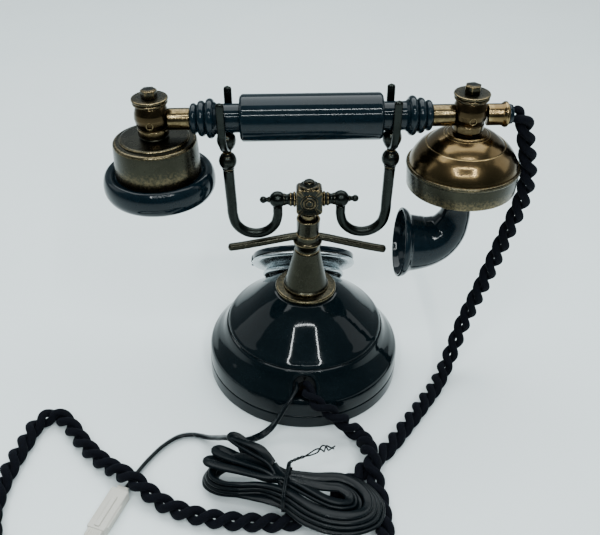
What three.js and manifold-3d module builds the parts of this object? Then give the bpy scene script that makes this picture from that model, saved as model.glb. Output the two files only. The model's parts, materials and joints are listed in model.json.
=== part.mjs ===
// A cradle telephone on a round base: dial in front, cable arch behind, handset across the cradle.
// Millimetres, +Z up. The origin is the centre of the base's underside, +X runs along the handset
// towards the mouthpiece and +Y is the side that the dial faces.
import * as THREE from "three";
import { mergeVertices } from "three/addons/utils/BufferGeometryUtils.js";
import Module from "manifold-3d";

const wasm = await Module();
wasm.setup();

const GAP = 0.3;                       // clearance between pieces that touch

// Base
const BASE_RADIUS = 70;
const SEAM = 10.6;                     // height of the joint between base plate and shell
const BASE_TOP = 69.3;
const SHELL_WALL = 2.4;
const SCREW_CIRCLE = 60.5;
const ARCH = { x: -1.4, half: 8, spring: 30.6, foot: 24.4, rim: 2.1, lip: 1.3 };

// Column, a stack on the base's axis
const FLANGE_RADIUS = 21.5;
const CONE = { foot: 15.8, low: 14.6, high: 8.9, base: 72.7, top: 102.8 };
const COLUMN_BORE = 5.4;
const HUB_TOP = 115.8;
const CUP_TOP = 127.7;
const WING_TIP = 54.5;

// Dial: centre of its mounting ring, and its lean back from level
const DIAL_SEAT = new THREE.Vector3(0, 44, 47.5);
const DIAL_TILT = THREE.MathUtils.degToRad(46);
const NECK_RADIUS = 26.8;
const DISH_RADIUS = 39.7;
const WHEEL_RADIUS = 38.6;
const FINGER_HOLES = 10;
const HOLE_RADIUS = 6.2;
const HOLE_CIRCLE = 29;
const FIRST_HOLE = THREE.MathUtils.degToRad(45);
const STOP_ANGLE = THREE.MathUtils.degToRad(-15);

// Cradle and handset lean together: the mouthpiece end stands a little higher
const PIVOT = 142.3;                   // height of the cross bar
const LEAN = THREE.MathUtils.degToRad(1.9);
const BALL_X = 20.8;
const ARM_BEND = 14.9;                 // radius of the bend in each arm
const ARM_X = 51.6;                    // top of each arm
const ARM_TOP = 22.6;
const FORK_SPREAD = 12.6;
const FORK_TURN_LEFT = -0.13;
const FORK_TURN_RIGHT = 0.05;
const HANDSET_AXIS = 58.0;             // height of the handset above the cross bar
const HANDSET_SHIFT = 1.2;
const GRIP = { half: 43.5, radius: 14.4, edge: 1.6 };
const ROD_RADIUS = 3.2;
const HUB_X = 97.1;
const BELL_RIM = 36.2;

// Cords
const ROPE_RADIUS = 5.1;
const SPLIT_HEIGHT = 58;
const LEAD_RADIUS = 2.1;
const HANK = { low: 14.2, high: 26.4, length: 112, width: 37, x: -10, y: -128.6, turn: -0.18 };

const material = (color, roughness, metalness) =>
  new THREE.MeshStandardMaterial({ color, roughness, metalness });
const gloss = () => material(0x0c1a22, 0.12, 0.0);
const bronze = () => material(0x6b5a38, 0.35, 0.9);
const darkBronze = () => material(0x2c2a25, 0.35, 0.85);
const brass = () => material(0x9a7440, 0.28, 0.95);
const silver = () => material(0xbfc6c9, 0.25, 0.95);
const steel = () => material(0x8d9194, 0.4, 0.9);
const insulator = () => material(0x2b3a2e, 0.6, 0.0);
const fabric = () => material(0x0a0c12, 0.9, 0.0);
const vinyl = () => material(0x14191d, 0.3, 0.0);
const white = () => material(0xe9e6dc, 0.4, 0.0);

// ---- geometry helpers ----

// Joins shared vertices, drops empty triangles and turns the surface outwards.
function closed(geometry) {
  let shape = geometry.clone();
  shape.deleteAttribute("normal");
  shape.deleteAttribute("uv");
  shape = mergeVertices(shape, 1e-4);
  const at = shape.attributes.position;
  const corner = (i) => new THREE.Vector3().fromBufferAttribute(at, i);
  const kept = [];
  let volume = 0;
  for (let i = 0; i < shape.index.count; i += 3) {
    const [a, b, c] = [0, 1, 2].map((k) => shape.index.getX(i + k));
    if (a === b || b === c || c === a) continue;
    kept.push([a, b, c]);
    volume += corner(a).dot(corner(b).cross(corner(c)));
  }
  shape.setIndex(kept.flatMap(([a, b, c]) => (volume < 0 ? [a, c, b] : [a, b, c])));
  return shape;
}

function toManifold(geometry) {
  const shape = closed(geometry);
  return new wasm.Manifold(new wasm.Mesh({
    numProp: 3,
    vertProperties: new Float32Array(shape.attributes.position.array),
    triVerts: new Uint32Array(shape.index.array),
  }));
}

function fromManifold(solid) {
  const mesh = solid.getMesh();
  const shape = new THREE.BufferGeometry();
  shape.setAttribute("position", new THREE.BufferAttribute(mesh.vertProperties, 3));
  shape.setIndex(new THREE.BufferAttribute(mesh.triVerts, 1));
  return shape;
}

function join(first, ...others) {
  let solid = toManifold(first);
  for (const other of others) solid = solid.add(toManifold(other));
  return fromManifold(solid);
}

function cut(first, ...tools) {
  let solid = toManifold(first);
  for (const tool of tools) solid = solid.subtract(toManifold(tool));
  return fromManifold(solid);
}

function overlap(first, second) {
  return fromManifold(toManifold(first).intersect(toManifold(second)));
}

// Turns a profile of [radius, height] pairs about Z. A profile off the axis closes on itself.
function turned(profile, sides = 24) {
  const points = profile.map(([r, z]) => new THREE.Vector2(r, z));
  const last = points[points.length - 1];
  if (points[0].x > 0 || last.x > 0) points.push(points[0].clone());
  return closed(new THREE.LatheGeometry(points, sides).rotateX(Math.PI / 2));
}

// The same profile turned about X: [radius, x] pairs. side is 1 or -1.
function turnedAlongX(profile, side, sides = 20) {
  return closed(turned(profile, sides).rotateY(side * Math.PI / 2));
}

function disc(radius, low, high, sides = 20) {
  return turned([[0, low], [radius, low], [radius, high], [0, high]], sides);
}

function block(width, depth, height, x = 0, y = 0, z = 0) {
  return new THREE.BoxGeometry(width, depth, height).translate(x, y, z);
}

function polygon(sides, radius, start = 0) {
  const outline = new THREE.Shape();
  for (let i = 0; i < sides; i += 1) {
    const a = start + i * 2 * Math.PI / sides;
    const step = i === 0 ? "moveTo" : "lineTo";
    outline[step](radius * Math.cos(a), radius * Math.sin(a));
  }
  outline.closePath();
  return outline;
}

function prism(outline, low, high, curveSegments = 12) {
  const settings = { depth: high - low, bevelEnabled: false, curveSegments };
  return new THREE.ExtrudeGeometry(outline, settings).translate(0, 0, low);
}

// A round bar along a curve, the same thickness all the way.
function bar(points, radius, steps, sides = 8) {
  const path = new THREE.CatmullRomCurve3(points.map((p) => new THREE.Vector3(...p)));
  const settings = { steps, bevelEnabled: false, extrudePath: path };
  return closed(new THREE.ExtrudeGeometry(polygon(sides, radius), settings));
}

// A bar in a vertical plane whose two half-thicknesses change along it. across is the plane's normal.
function taperedBar(points, across, sizeAt, steps, sides) {
  const path = new THREE.CatmullRomCurve3(points.map((p) => new THREE.Vector3(...p)));
  const side = new THREE.Vector3(...across).normalize();
  const vertices = [];
  const index = [];
  for (let i = 0; i <= steps; i += 1) {
    const t = i / steps;
    const centre = path.getPointAt(t);
    const up = new THREE.Vector3().crossVectors(path.getTangentAt(t), side).normalize();
    const [wide, thick] = sizeAt(t);
    for (let k = 0; k < sides; k += 1) {
      const a = 2 * Math.PI * k / sides;
      const p = centre.clone().addScaledVector(side, wide * Math.cos(a));
      vertices.push(...p.addScaledVector(up, thick * Math.sin(a)).toArray());
    }
  }
  vertices.push(...path.getPointAt(0).toArray(), ...path.getPointAt(1).toArray());
  const firstCap = (steps + 1) * sides;
  for (let k = 0; k < sides; k += 1) {
    const next = (k + 1) % sides;
    for (let i = 0; i < steps; i += 1) {
      const a = i * sides;
      const b = a + sides;
      index.push(a + k, b + k, b + next, a + k, b + next, a + next);
    }
    const end = steps * sides;
    index.push(firstCap, k, next, firstCap + 1, end + next, end + k);
  }
  const shape = new THREE.BufferGeometry();
  shape.setAttribute("position", new THREE.Float32BufferAttribute(vertices, 3));
  shape.setIndex(index);
  return closed(shape);
}

function node(group, name, geometry, finish) {
  const mesh = new THREE.Mesh(closed(geometry), finish);
  mesh.name = name;
  group.add(mesh);
  return mesh;
}

// ---- base ----

// Outside of the shell, from the seam up: straight band, shoulder, cove, groove, dome.
const BAND_AND_COVE = [
  [69.6, SEAM + GAP], [69.5, 19], [69, 22], [68.2, 23.6], [66.8, 25.2], [64.4, 28.2],
  [61.8, 31.2], [59.7, 34.2], [58.2, 37.2], [57.1, 39.4], [55.5, 40.4],
];
const DOME = [
  [55.8, 41.9], [54.4, 43.9], [51.5, 46.2], [47.8, 49.4], [43.5, 53.1], [38.8, 57.2],
  [33.8, 61.4], [28.4, 65.4], [22.6, BASE_TOP],
];
const SHELL_INSIDE = [
  [24, 65.4], [36, 56.4], [46, 47.6], [52.6, 41.4], [54.4, 37.6], [58.8, 30.2], [66.4, 20.4],
  [67.1, SEAM + GAP],
];

function along(geometry) {
  return closed(geometry).rotateX(-DIAL_TILT).translate(...DIAL_SEAT.toArray());
}

function archPrism(half, foot, crown) {
  const outline = new THREE.Shape();
  outline.moveTo(-half, foot);
  outline.lineTo(half, foot);
  outline.lineTo(half, ARCH.spring);
  outline.absarc(0, ARCH.spring, crown, 0, Math.PI, false);
  outline.closePath();
  return closed(prism(outline, 48, 76, 7)).rotateX(Math.PI / 2).translate(ARCH.x, 0, 0);
}

function baseShell() {
  const stubHole = 6.9;
  const profile = [
    ...BAND_AND_COVE, ...DOME, [stubHole, BASE_TOP], [stubHole, BASE_TOP - SHELL_WALL],
    ...SHELL_INSIDE,
  ];
  const neck = along(disc(NECK_RADIUS, -15, -1.6, 24));
  const neckBore = along(disc(NECK_RADIUS - 2.5, -40, 6, 24));
  const ringRoom = along(disc(32, -1.6, 30, 24));
  const outer = ARCH.half + ARCH.rim;
  const band = cut(archPrism(outer, ARCH.foot - 0.4, outer), archPrism(ARCH.half, 20, ARCH.half));
  const skin = turned([
    ...BAND_AND_COVE.slice(3).map(([r, z]) => [r + 0.8, z + ARCH.lip]),
    [54, 42.4], [54, ARCH.foot - 3], [68, ARCH.foot - 3],
  ], 32);
  const rim = overlap(band, skin);
  const posts = [0, 1, 2].map((i) => {
    const a = Math.PI / 2 + i * 2 * Math.PI / 3;
    const place = [SCREW_CIRCLE * Math.cos(a), SCREW_CIRCLE * Math.sin(a), 0];
    return [
      disc(5.4, 3.6, 25, 10).translate(...place), disc(2.1, 0, 18, 8).translate(...place),
    ];
  });
  const inside = turned([[0, 0], [69.2, 0], [69.2, 20], [58, 34], [30, 60], [0, 66]], 24);
  const bosses = posts.map(([post]) => overlap(post, inside));
  const solid = join(turned(profile, 32), neck, rim, ...bosses);
  const archCut = archPrism(ARCH.half, ARCH.foot, ARCH.half);
  return cut(solid, neckBore, ringRoom, archCut, ...posts.map(([, hole]) => hole));
}

function basePlate() {
  const pan = turned([
    [0, 0], [BASE_RADIUS - 0.5, 0], [BASE_RADIUS, 0.7], [69.7, SEAM - GAP], [67.2, SEAM - GAP],
    [66.8, 3], [0, 3],
  ], 32);
  const holes = [0, 1, 2].map((i) => {
    const a = Math.PI / 2 + i * 2 * Math.PI / 3;
    const drill = turned([[0, -1], [4.2, -1], [4.2, 1.8], [2.2, 1.8], [2.2, 4], [0, 4]], 10);
    return drill.translate(SCREW_CIRCLE * Math.cos(a), SCREW_CIRCLE * Math.sin(a), 0);
  });
  return cut(pan, ...holes);
}

function buildBase(group) {
  node(group, "base_plate", basePlate(), gloss());
  node(group, "base_shell", baseShell(), gloss());
  for (let i = 0; i < 3; i += 1) {
    const a = Math.PI / 2 + i * 2 * Math.PI / 3;
    const screw = turned([[0, 0.3], [3.6, 0.3], [3.8, 1.5], [1.8, 1.5], [1.8, 15], [0, 15]], 8);
    const mesh = node(group, `base_screw_${i + 1}`, screw, steel());
    mesh.position.set(SCREW_CIRCLE * Math.cos(a), SCREW_CIRCLE * Math.sin(a), 0);
  }
  node(group, "ballast_disc", turned([[17, 3.3], [50, 3.3], [50, 7.3], [17, 7.3]], 20), steel());
  const sounder = turned([[0, 7.6], [13, 7.6], [13, 13], [11.5, 14.6], [0, 14.6]], 16);
  node(group, "ringer_sounder", sounder, darkBronze()).position.set(-32, -12, 0);
  const anchor = block(24, 6, 22, ARCH.x, -48, 28);
  node(group, "cord_anchor", anchor, insulator());
  const plunger = disc(2.2, 44, 51.6, 10);
  node(group, "hook_switch", join(block(20, 11, 42, 0, 0, 24.4), plunger), insulator());
}

// ---- column ----

function wing(side) {
  const points = [[5.6, 113.4], [12, 112.3], [25.6, 109.1], [36, 106.7], [46, 104.5],
    [WING_TIP, 103]];
  const path = points.map(([x, z]) => [side * x, 0, z]);
  const sizes = (t) => {
    const end = Math.min(1, 0.55 + 18 * (1 - t));
    return [(3.1 - 0.3 * t) * end, (2.2 + 0.2 * t) * end];
  };
  return taperedBar(path, [0, 1, 0], sizes, 9, 8);
}

function wingBracket() {
  const hub = turned([
    [COLUMN_BORE, CONE.top + GAP], [8.7, CONE.top + GAP], [8.4, 104.4], [9.4, 108.2],
    [10, 110], [9.4, 111.2], [8, 112], [7.9, HUB_TOP], [COLUMN_BORE, HUB_TOP],
  ], 20);
  const bore = disc(COLUMN_BORE, 90, 130, 20);
  return cut(join(hub, wing(1), wing(-1)), bore);
}

function hookSpring() {
  class Coil extends THREE.Curve {
    getPoint(t) {
      const a = t * 2 * Math.PI * 5;
      return new THREE.Vector3(4.35 * Math.cos(a), 4.35 * Math.sin(a), 84.4 + 14.2 * t);
    }
  }
  const settings = { steps: 40, bevelEnabled: false, extrudePath: new Coil() };
  return new THREE.ExtrudeGeometry(polygon(4, 0.45), settings);
}

function buildColumn(group) {
  const flange = [[6.8, 69.6], [FLANGE_RADIUS - 0.5, 69.6], [FLANGE_RADIUS, 70.2],
    [FLANGE_RADIUS, 71.6], [20.6, 72.4], [6.8, 72.4]];
  node(group, "column_flange", turned(flange, 28), bronze());
  const cone = [
    [COLUMN_BORE, 56], [6.4, 56], [6.4, CONE.base], [CONE.foot, CONE.base], [CONE.foot, 74.1],
    [CONE.low, 75.2], [CONE.high, CONE.top], [COLUMN_BORE, CONE.top],
  ];
  node(group, "column_cone", turned(cone, 24), bronze());
  node(group, "wing_bracket", wingBracket(), bronze());
  const cup = [
    [COLUMN_BORE, HUB_TOP + GAP], [7.5, HUB_TOP + GAP], [7.9, 125.8], [8, CUP_TOP],
    [6.6, CUP_TOP], [6.6, 118.6], [COLUMN_BORE, 118.6],
  ];
  node(group, "column_cup", turned(cup, 20), bronze());
  node(group, "hook_spring", hookSpring(), steel());
}

// ---- dial ----

function radial(angle, radius) {
  return [-radius * Math.cos(angle), -radius * Math.sin(angle)];
}

function fingerWheel() {
  const holes = [];
  for (let i = 0; i < FINGER_HOLES; i += 1) {
    const [x, y] = radial(FIRST_HOLE + i * Math.PI / 6, HOLE_CIRCLE);
    holes.push(disc(HOLE_RADIUS, 12, 18, 10).translate(x, y, 0));
  }
  return cut(disc(WHEEL_RADIUS, 13.2, 16, 30), ...holes);
}

function fingerStop() {
  const outline = new THREE.Shape();
  const points = [[40.1, 8.6], [42.4, 8.6], [42.4, 18.1], [25, 18.1], [25, 16.6], [40.1, 16.6]];
  points.forEach(([r, s], i) => outline[i === 0 ? "moveTo" : "lineTo"](r, s));
  outline.closePath();
  const strip = closed(prism(outline, -2.4, 2.4)).rotateX(Math.PI / 2);
  return strip.rotateZ(STOP_ANGLE + Math.PI);
}

function buildDial(group) {
  const dial = new THREE.Group();
  dial.position.copy(DIAL_SEAT);
  dial.rotation.x = -DIAL_TILT;
  group.add(dial);
  const ring = [[24.6, -1.2], [30.2, -1.2], [31.2, 0], [31, 1.8], [29.6, 2.8], [24.6, 2.8]];
  node(dial, "dial_mount_ring", turned(ring, 28), silver());
  const works = [[0, -16], [17, -16], [20, -12], [20, 0], [24, 0], [24, 2.6], [0, 2.6]];
  node(dial, "dial_mechanism", turned(works, 20), steel());
  const dish = [
    [4.2, 3.1], [29, 3.1], [31, 4.6], [37.6, 7.4], [39.6, 9.2], [DISH_RADIUS, 11.6],
    [39, 12.6], [37.9, 12], [37.6, 10.4], [30, 6.4], [4.2, 6.4],
  ];
  node(dial, "dial_dish", turned(dish, 28), silver());
  const plate = [[4.2, 6.7], [20, 6.7], [20, 10.6], [37, 10.8], [37, 11.8], [4.2, 11.8]];
  node(dial, "number_plate", turned(plate, 24), white());
  node(dial, "dial_shaft", disc(3.4, 2.9, 12.9, 10), steel());
  node(dial, "finger_wheel", fingerWheel(), gloss());
  const cap = [[0, 16.3], [13, 16.3], [13, 17.2], [10, 18.2], [0, 18.8]];
  node(dial, "dial_cap", turned(cap, 20), silver());
  node(dial, "finger_stop", fingerStop(), silver());
}

// ---- cradle ----

function crossBlock() {
  const corner = 1.4;
  const [w, h] = [8.6, 9.4];
  const outline = new THREE.Shape();
  const points = [[-w + corner, -h], [w - corner, -h], [w, -h + corner], [w, h - corner],
    [w - corner, h], [-w + corner, h], [-w, h - corner], [-w, -h + corner]];
  points.forEach(([x, z], i) => outline[i === 0 ? "moveTo" : "lineTo"](x, z));
  outline.closePath();
  const body = closed(prism(outline, -5.6, 5.6)).rotateX(Math.PI / 2);
  const bosses = turned([[0, -7], [3.2, -7], [4, -6.4], [5.8, -6.4], [5.8, 6.4], [4, 6.4],
    [3.2, 7], [0, 7]], 16).rotateX(Math.PI / 2);
  return join(body, bosses, disc(5.2, -10.4, -8, 14));
}

function crossBar(side) {
  const neck = [[0, 8.9], [4.6, 8.9], [5.4, 9.9], [4.1, 11], [4.6, 12.2], [3.7, 13.4], [3.5, 14.6]];
  const ball = [0.78, 0.45, 0.12, -0.25, -0.62].map((f) => {
    const a = Math.PI / 2 - Math.asin(f);
    return [5.6 * Math.sin(a), BALL_X - 5.6 * Math.cos(a)];
  });
  const finial = [[1.9, 26.4], [1.6, 27.6], [2.1, 28.8], [2.3, 30.4], [1.6, 32], [0, 32.7]];
  return turnedAlongX([...neck, ...ball, ...finial], side, 14);
}

function arm(side) {
  const points = [[BALL_X, -5.9], [BALL_X, -9.5]];
  for (let i = 0; i <= 6; i += 1) {
    const a = Math.PI + i * Math.PI / 6;
    points.push([BALL_X + ARM_BEND * (1 + Math.cos(a)), -11.2 + ARM_BEND * Math.sin(a)]);
  }
  points.push([50.9, -2], [51.3, 10], [ARM_X, ARM_TOP]);
  const path = points.map(([x, z]) => [side * x, 0, z]);
  return taperedBar(path, [0, 1, 0], (t) => [3.2 + 0.4 * t, 3.2 + 0.4 * t], 20, 8);
}

function armBead() {
  return turned([
    [0, 22.9], [3.8, 22.9], [4.2, 24.2], [5.2, 26.4], [5.7, 29.2], [5.1, 32], [3.6, 34],
    [2.7, 35.2], [0, 35.2],
  ], 16);
}

function fork() {
  const low = 37.6;
  const ball = turned([[0, 35.5], [2.6, 35.5], [4.4, 38.6], [5.9, 41.6], [6.1, 44.4], [5.2, 47.2],
    [3, 48.6], [0, 48.8]], 14);
  const points = [
    [-FORK_SPREAD - 0.4, 72.4], [-FORK_SPREAD, 58], [-FORK_SPREAD, 50], [-9.8, 43.6],
    [-5, 39], [0, low], [5, 39], [9.8, 43.6], [FORK_SPREAD, 50], [FORK_SPREAD, 58],
    [FORK_SPREAD + 0.4, 72.4],
  ];
  const path = points.map(([y, z]) => [0, y, z]);
  const prongs = taperedBar(path, [1, 0, 0], () => [2.3, 1.7], 18, 6);
  return join(ball, prongs);
}

function buildCradle(group) {
  const spindle = [[0, 51.9], [3.4, 51.9], [3.4, 99.5], [4.9, 99.5], [4.9, 101], [3.4, 101],
    [3.4, 121], [5, 121], [5, 131.3], [0, 131.3]];
  node(group, "hook_spindle", turned(spindle, 14), darkBronze());
  const cradle = new THREE.Group();
  cradle.position.z = PIVOT;
  cradle.rotation.y = -LEAN;
  group.add(cradle);
  node(cradle, "cross_block", crossBlock(), darkBronze());
  const cap = [[0, 9.7], [6.1, 9.7], [6.2, 10.8], [3.9, 11], [3.8, 12.6], [2.2, 14], [0, 14.4]];
  node(cradle, "cradle_screw", turned(cap, 16), darkBronze());
  for (const [side, name] of [[-1, "left"], [1, "right"]]) {
    node(cradle, `cross_bar_${name}`, crossBar(side), darkBronze());
    node(cradle, `cradle_arm_${name}`, arm(side), darkBronze());
    node(cradle, `arm_bead_${name}`, armBead(), darkBronze()).position.x = side * ARM_X;
    const holder = node(cradle, `fork_${name}`, fork(), darkBronze());
    holder.position.x = side * ARM_X;
    holder.rotation.z = side < 0 ? FORK_TURN_LEFT : FORK_TURN_RIGHT;
  }
}

// ---- handset ----

function grip() {
  const { half, radius, edge } = GRIP;
  return turnedAlongX([
    [3.6, -half], [radius - edge, -half], [radius - 0.4, -half + 0.5], [radius, -half + edge],
    [radius, half - edge], [radius - 0.4, half - 0.5], [radius - edge, half], [3.6, half],
  ], 1, 24);
}

// Plain sleeve for the fork, then three rings that grow smaller outwards.
function sleeve(side) {
  const profile = [[3.6, GRIP.half + GAP], [8.9, GRIP.half + GAP], [8.9, 57.6]];
  for (const [middle, half, radius] of [[60.6, 2.7, 12.2], [66.1, 2.6, 10.9], [71.3, 2.5, 9.4]]) {
    profile.push([radius - 2, middle - half], [radius, middle - half * 0.35]);
    profile.push([radius, middle + half * 0.35], [radius - 2, middle + half]);
  }
  profile.push([3.6, 73.8]);
  return turnedAlongX(profile, side, 16);
}

function handsetHub() {
  const barrel = turned([
    [0, -9.4], [8.4, -9.4], [9.3, -8.4], [10.6, -3.5], [10.9, 0], [10.6, 4], [9.8, 8.8],
    [9, 9.9], [0, 9.9],
  ], 20);
  const hole = disc(1.7, 8.6, 13, 8).rotateX(Math.PI / 2);
  return cut(barrel, hole);
}

function hubWasher() {
  return turned([
    [0, 10.2], [10, 10.2], [10.7, 10.8], [10.7, 11.8], [10, 12.4], [11, 12.9], [11.2, 13.7],
    [10.8, 14.5], [0, 14.5],
  ], 18);
}

function receiverShell() {
  return turned([
    [0, -9.7], [7.4, -9.7], [7.8, -11.3], [20.9, -11.3], [21.7, -11.8], [21.8, -12.9],
    [25.3, -12.9], [26, -13.6], [27.3, -35.7], [24.9, -35.7], [24, -15.6], [0, -15.6],
  ], 24);
}

function earCap() {
  const body = turned([
    [0, -45], [8, -45.2], [14, -47], [24, -50.2], [29, -50.8], [33, -49], [35.2, -45.4],
    [35.6, -42], [35, -38.6], [33.6, -35.6], [31.6, -34], [30, -34.2], [28.6, -36],
    [23.8, -36], [23.8, -26], [21.6, -26], [21.6, -38.6], [0, -38.6],
  ], 24);
  const holes = [0, 1, 2, 3, 4, 5, 6].map((i) => {
    const radius = i === 6 ? 0 : 5;
    const a = i * Math.PI / 3;
    return disc(1.2, -60, -30, 6).translate(radius * Math.cos(a), radius * Math.sin(a), 0);
  });
  return cut(body, ...holes);
}

function transmitterBell() {
  const fold = 34.4;
  const foldHeight = -32.4;
  const rise = 22;
  const wall = 1.6;
  const dome = [22, 38, 53, 67, 80, 90].map((d) => {
    const a = THREE.MathUtils.degToRad(d);
    return [fold * Math.sin(a), foldHeight + rise * Math.cos(a)];
  });
  const inner = [90, 65, 40].map((d) => {
    const a = THREE.MathUtils.degToRad(d);
    return [(fold - wall) * Math.sin(a), foldHeight + (rise - wall) * Math.cos(a) - 0.4];
  });
  return turned([
    [0, -9.7], [7.6, -9.7], [8.2, -10.8], ...dome, [35.2, -36], [BELL_RIM, -39.4],
    [BELL_RIM, -40.6], [35.6, -41.2], [34.9, -48.2], [33.4, -48.2], [33.8, -41], ...inner,
    [0, -14.6],
  ], 24);
}

function horn() {
  const centres = [[97.1, -43], [97.1, -56], [97, -66], [95.6, -75], [91.6, -84], [85, -90],
    [77.4, -92.9], [69, -93.8], [63.6, -93.6], [61.2, -93.4]];
  const sizes = [8.7, 8.7, 9, 10.4, 13.2, 16, 18, 19.4, 22.4, 24];
  const path = centres.map(([x, z]) => [x, 0, z]);
  const sizeAt = (scale, wall) => (t) => {
    const at = t * (sizes.length - 1);
    const i = Math.min(sizes.length - 2, Math.floor(at));
    const radius = scale * (sizes[i] + (sizes[i + 1] - sizes[i]) * (at - i)) - wall;
    return [radius, radius];
  };
  const outside = taperedBar(path, [0, 1, 0], sizeAt(1, 0), 13, 14);
  const longer = [[97.1, 0, -42], ...path.slice(1, -1), [60.4, 0, -93.35]];
  return cut(outside, taperedBar(longer, [0, 1, 0], sizeAt(1, 2), 13, 14));
}

function buildHandset(group) {
  const leaning = new THREE.Group();
  leaning.position.z = PIVOT;
  leaning.rotation.y = -LEAN;
  group.add(leaning);
  const handset = new THREE.Group();
  handset.position.set(HANDSET_SHIFT, 0, HANDSET_AXIS);
  leaning.add(handset);

  node(handset, "grip", grip(), gloss());
  const rod = [[0, -85.6], [ROD_RADIUS, -85.6], [ROD_RADIUS, 85.6], [0, 85.6]];
  node(handset, "tie_rod", turnedAlongX(rod, 1, 12), steel());
  const ends = [[-1, "left", "receiver"], [1, "right", "transmitter"]];
  for (const [side, hand, end] of ends) {
    node(handset, `ring_sleeve_${hand}`, sleeve(side), gloss());
    const tube = [[3.6, 74.1], [6.7, 74.1], [6.7, 85.9], [3.6, 85.9]];
    node(handset, `${end}_tube`, turnedAlongX(tube, side, 20), brass());
    const pieces = [
      ["hub", handsetHub(), brass()], ["washer", hubWasher(), bronze()],
      ["nut", prism(polygon(6, 5.4), 14.8, 19.4), darkBronze()],
    ];
    for (const [piece, shape, finish] of pieces) {
      node(handset, `${end}_${piece}`, shape, finish).position.x = side * HUB_X;
    }
  }
  node(handset, "receiver_shell", receiverShell(), bronze()).position.x = -HUB_X;
  node(handset, "ear_cap", earCap(), gloss()).position.x = -HUB_X;
  const capsule = disc(20.8, -34, -20, 20);
  node(handset, "receiver_capsule", capsule, steel()).position.x = -HUB_X;
  node(handset, "transmitter_bell", transmitterBell(), brass()).position.x = HUB_X;
  const cover = turned([[9.2, -47.6], [32.6, -47.6], [32.6, -45.6], [9.2, -45.6]], 24);
  node(handset, "transmitter_cover", cover, darkBronze()).position.x = HUB_X;
  node(handset, "horn", horn(), gloss());
  const stub = [[0, 108.3], [6.7, 108.3], [6.7, 117], [7.9, 118.2], [7.9, 119.6], [7, 120.4],
    [0, 120.4]];
  node(handset, "cord_stub", turnedAlongX(stub, 1, 16), brass());
  const gland = [[0, 120.7], [6.4, 120.7], [5.9, 123.4], [0, 123.4]];
  node(handset, "cord_gland", turnedAlongX(gland, 1, 14), gloss());
}

// ---- cords ----

// The handset cord: out of the gland, down to the table, under the hank, round and back to the arch.
const ROPE_ROUTE = [
  [123.8, 0, 204.5], [126.8, 0, 204], [130.9, 0, 199.6], [134, 0, 189.6], [138.2, 0, 175],
  [141, 0, 162.3], [141.4, 0, 148.6], [139.2, 0, 133.8], [136.3, 0, 119.7], [133.2, 0, 104.8],
  [130, 0, 89.4], [126.7, 0, 73.4], [123, 0, 58], [118.9, -1, 42.5], [115.6, -3.4, 31],
  [111.6, -8.6, 19.4], [107, -15.6, 11], [101, -26, 6.6], [94.6, -37, 5.4], [85.6, -50, 5.2],
  [76.2, -63.6, 5.2], [66.6, -76.6, 5.2], [58.3, -88, 5.2], [49.8, -98, 5.2],
  [42, -105.4, 5.2], [31, -116, 5.2], [18, -130, 5.2], [4, -143, 5.2], [-12, -149.4, 5.2],
  [-29.8, -150, 5.2], [-50, -148.4, 5.2], [-68, -145, 5.2], [-84, -139, 5.2],
  [-96.3, -131.5, 7.6], [-107.5, -123.3, 10.4], [-118, -115.6, 9.4], [-130, -106, 5.8],
  [-142, -95, 5.2], [-152, -83.6, 5.2], [-162, -70.6, 5.2], [-172, -64, 5.2],
  [-181.6, -72, 5.2], [-186, -90, 5.2], [-189.5, -108.9, 5.2], [-191, -128, 5.2],
  [-189, -148, 5.2], [-180, -168, 5.2], [-164, -183, 5.2], [-140, -192, 5.2],
  [-110, -195.6, 5.2], [-75, -197, 5.2], [-40, -197.6, 5.2], [-5, -196, 5.2],
  [22, -189, 5.2], [38, -176, 5.2], [44.6, -160, 5.2], [45, -146, 5.3], [44.3, -132, 5.4],
  [42.3, -119, 10.5], [40.6, -107, 15.9], [39.2, -94.6, 11.8], [37.6, -85, 6.6],
  [34.6, -80.2, 6.2], [30, -79.6, 10.2], [24.4, -80, 17.4], [17.8, -79.6, 24],
  [10.4, -77.4, 28.4], [4.2, -72.8, 30.2], [1.2, -65.4, 30.4], [0.9, -58, 30.3], [1, -51.4, 30.3],
];

// The line cord: out of the arch to the hank, and from the hank's other end to the plug.
const LEAD_TO_HANK = [
  [-6.6, -51.4, 31], [-6.7, -58, 31], [-7.2, -65, 31.8], [-10.2, -71.4, 30.8],
  [-14.4, -75.4, 26], [-18.2, -77.8, 19.6], [-22.8, -80, 12.6], [-29, -84, 9.4],
  [-35, -90, 12], [-39.4, -96, 16.6], [-41.8, -100.2, 18.6],
];
const LEAD_TO_PLUG = [
  [-53, -100.8, 19.6], [-55.6, -96.4, 18], [-60, -90, 12], [-66, -83.4, 5.6],
  [-74, -78.4, 2.8], [-85, -80, 2.4], [-95, -88, 2.4], [-102.6, -98.4, 2.2],
  [-108.2, -108.4, 2.2], [-111.6, -116.4, 2.2], [-115.4, -123.8, 2.6],
];

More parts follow.
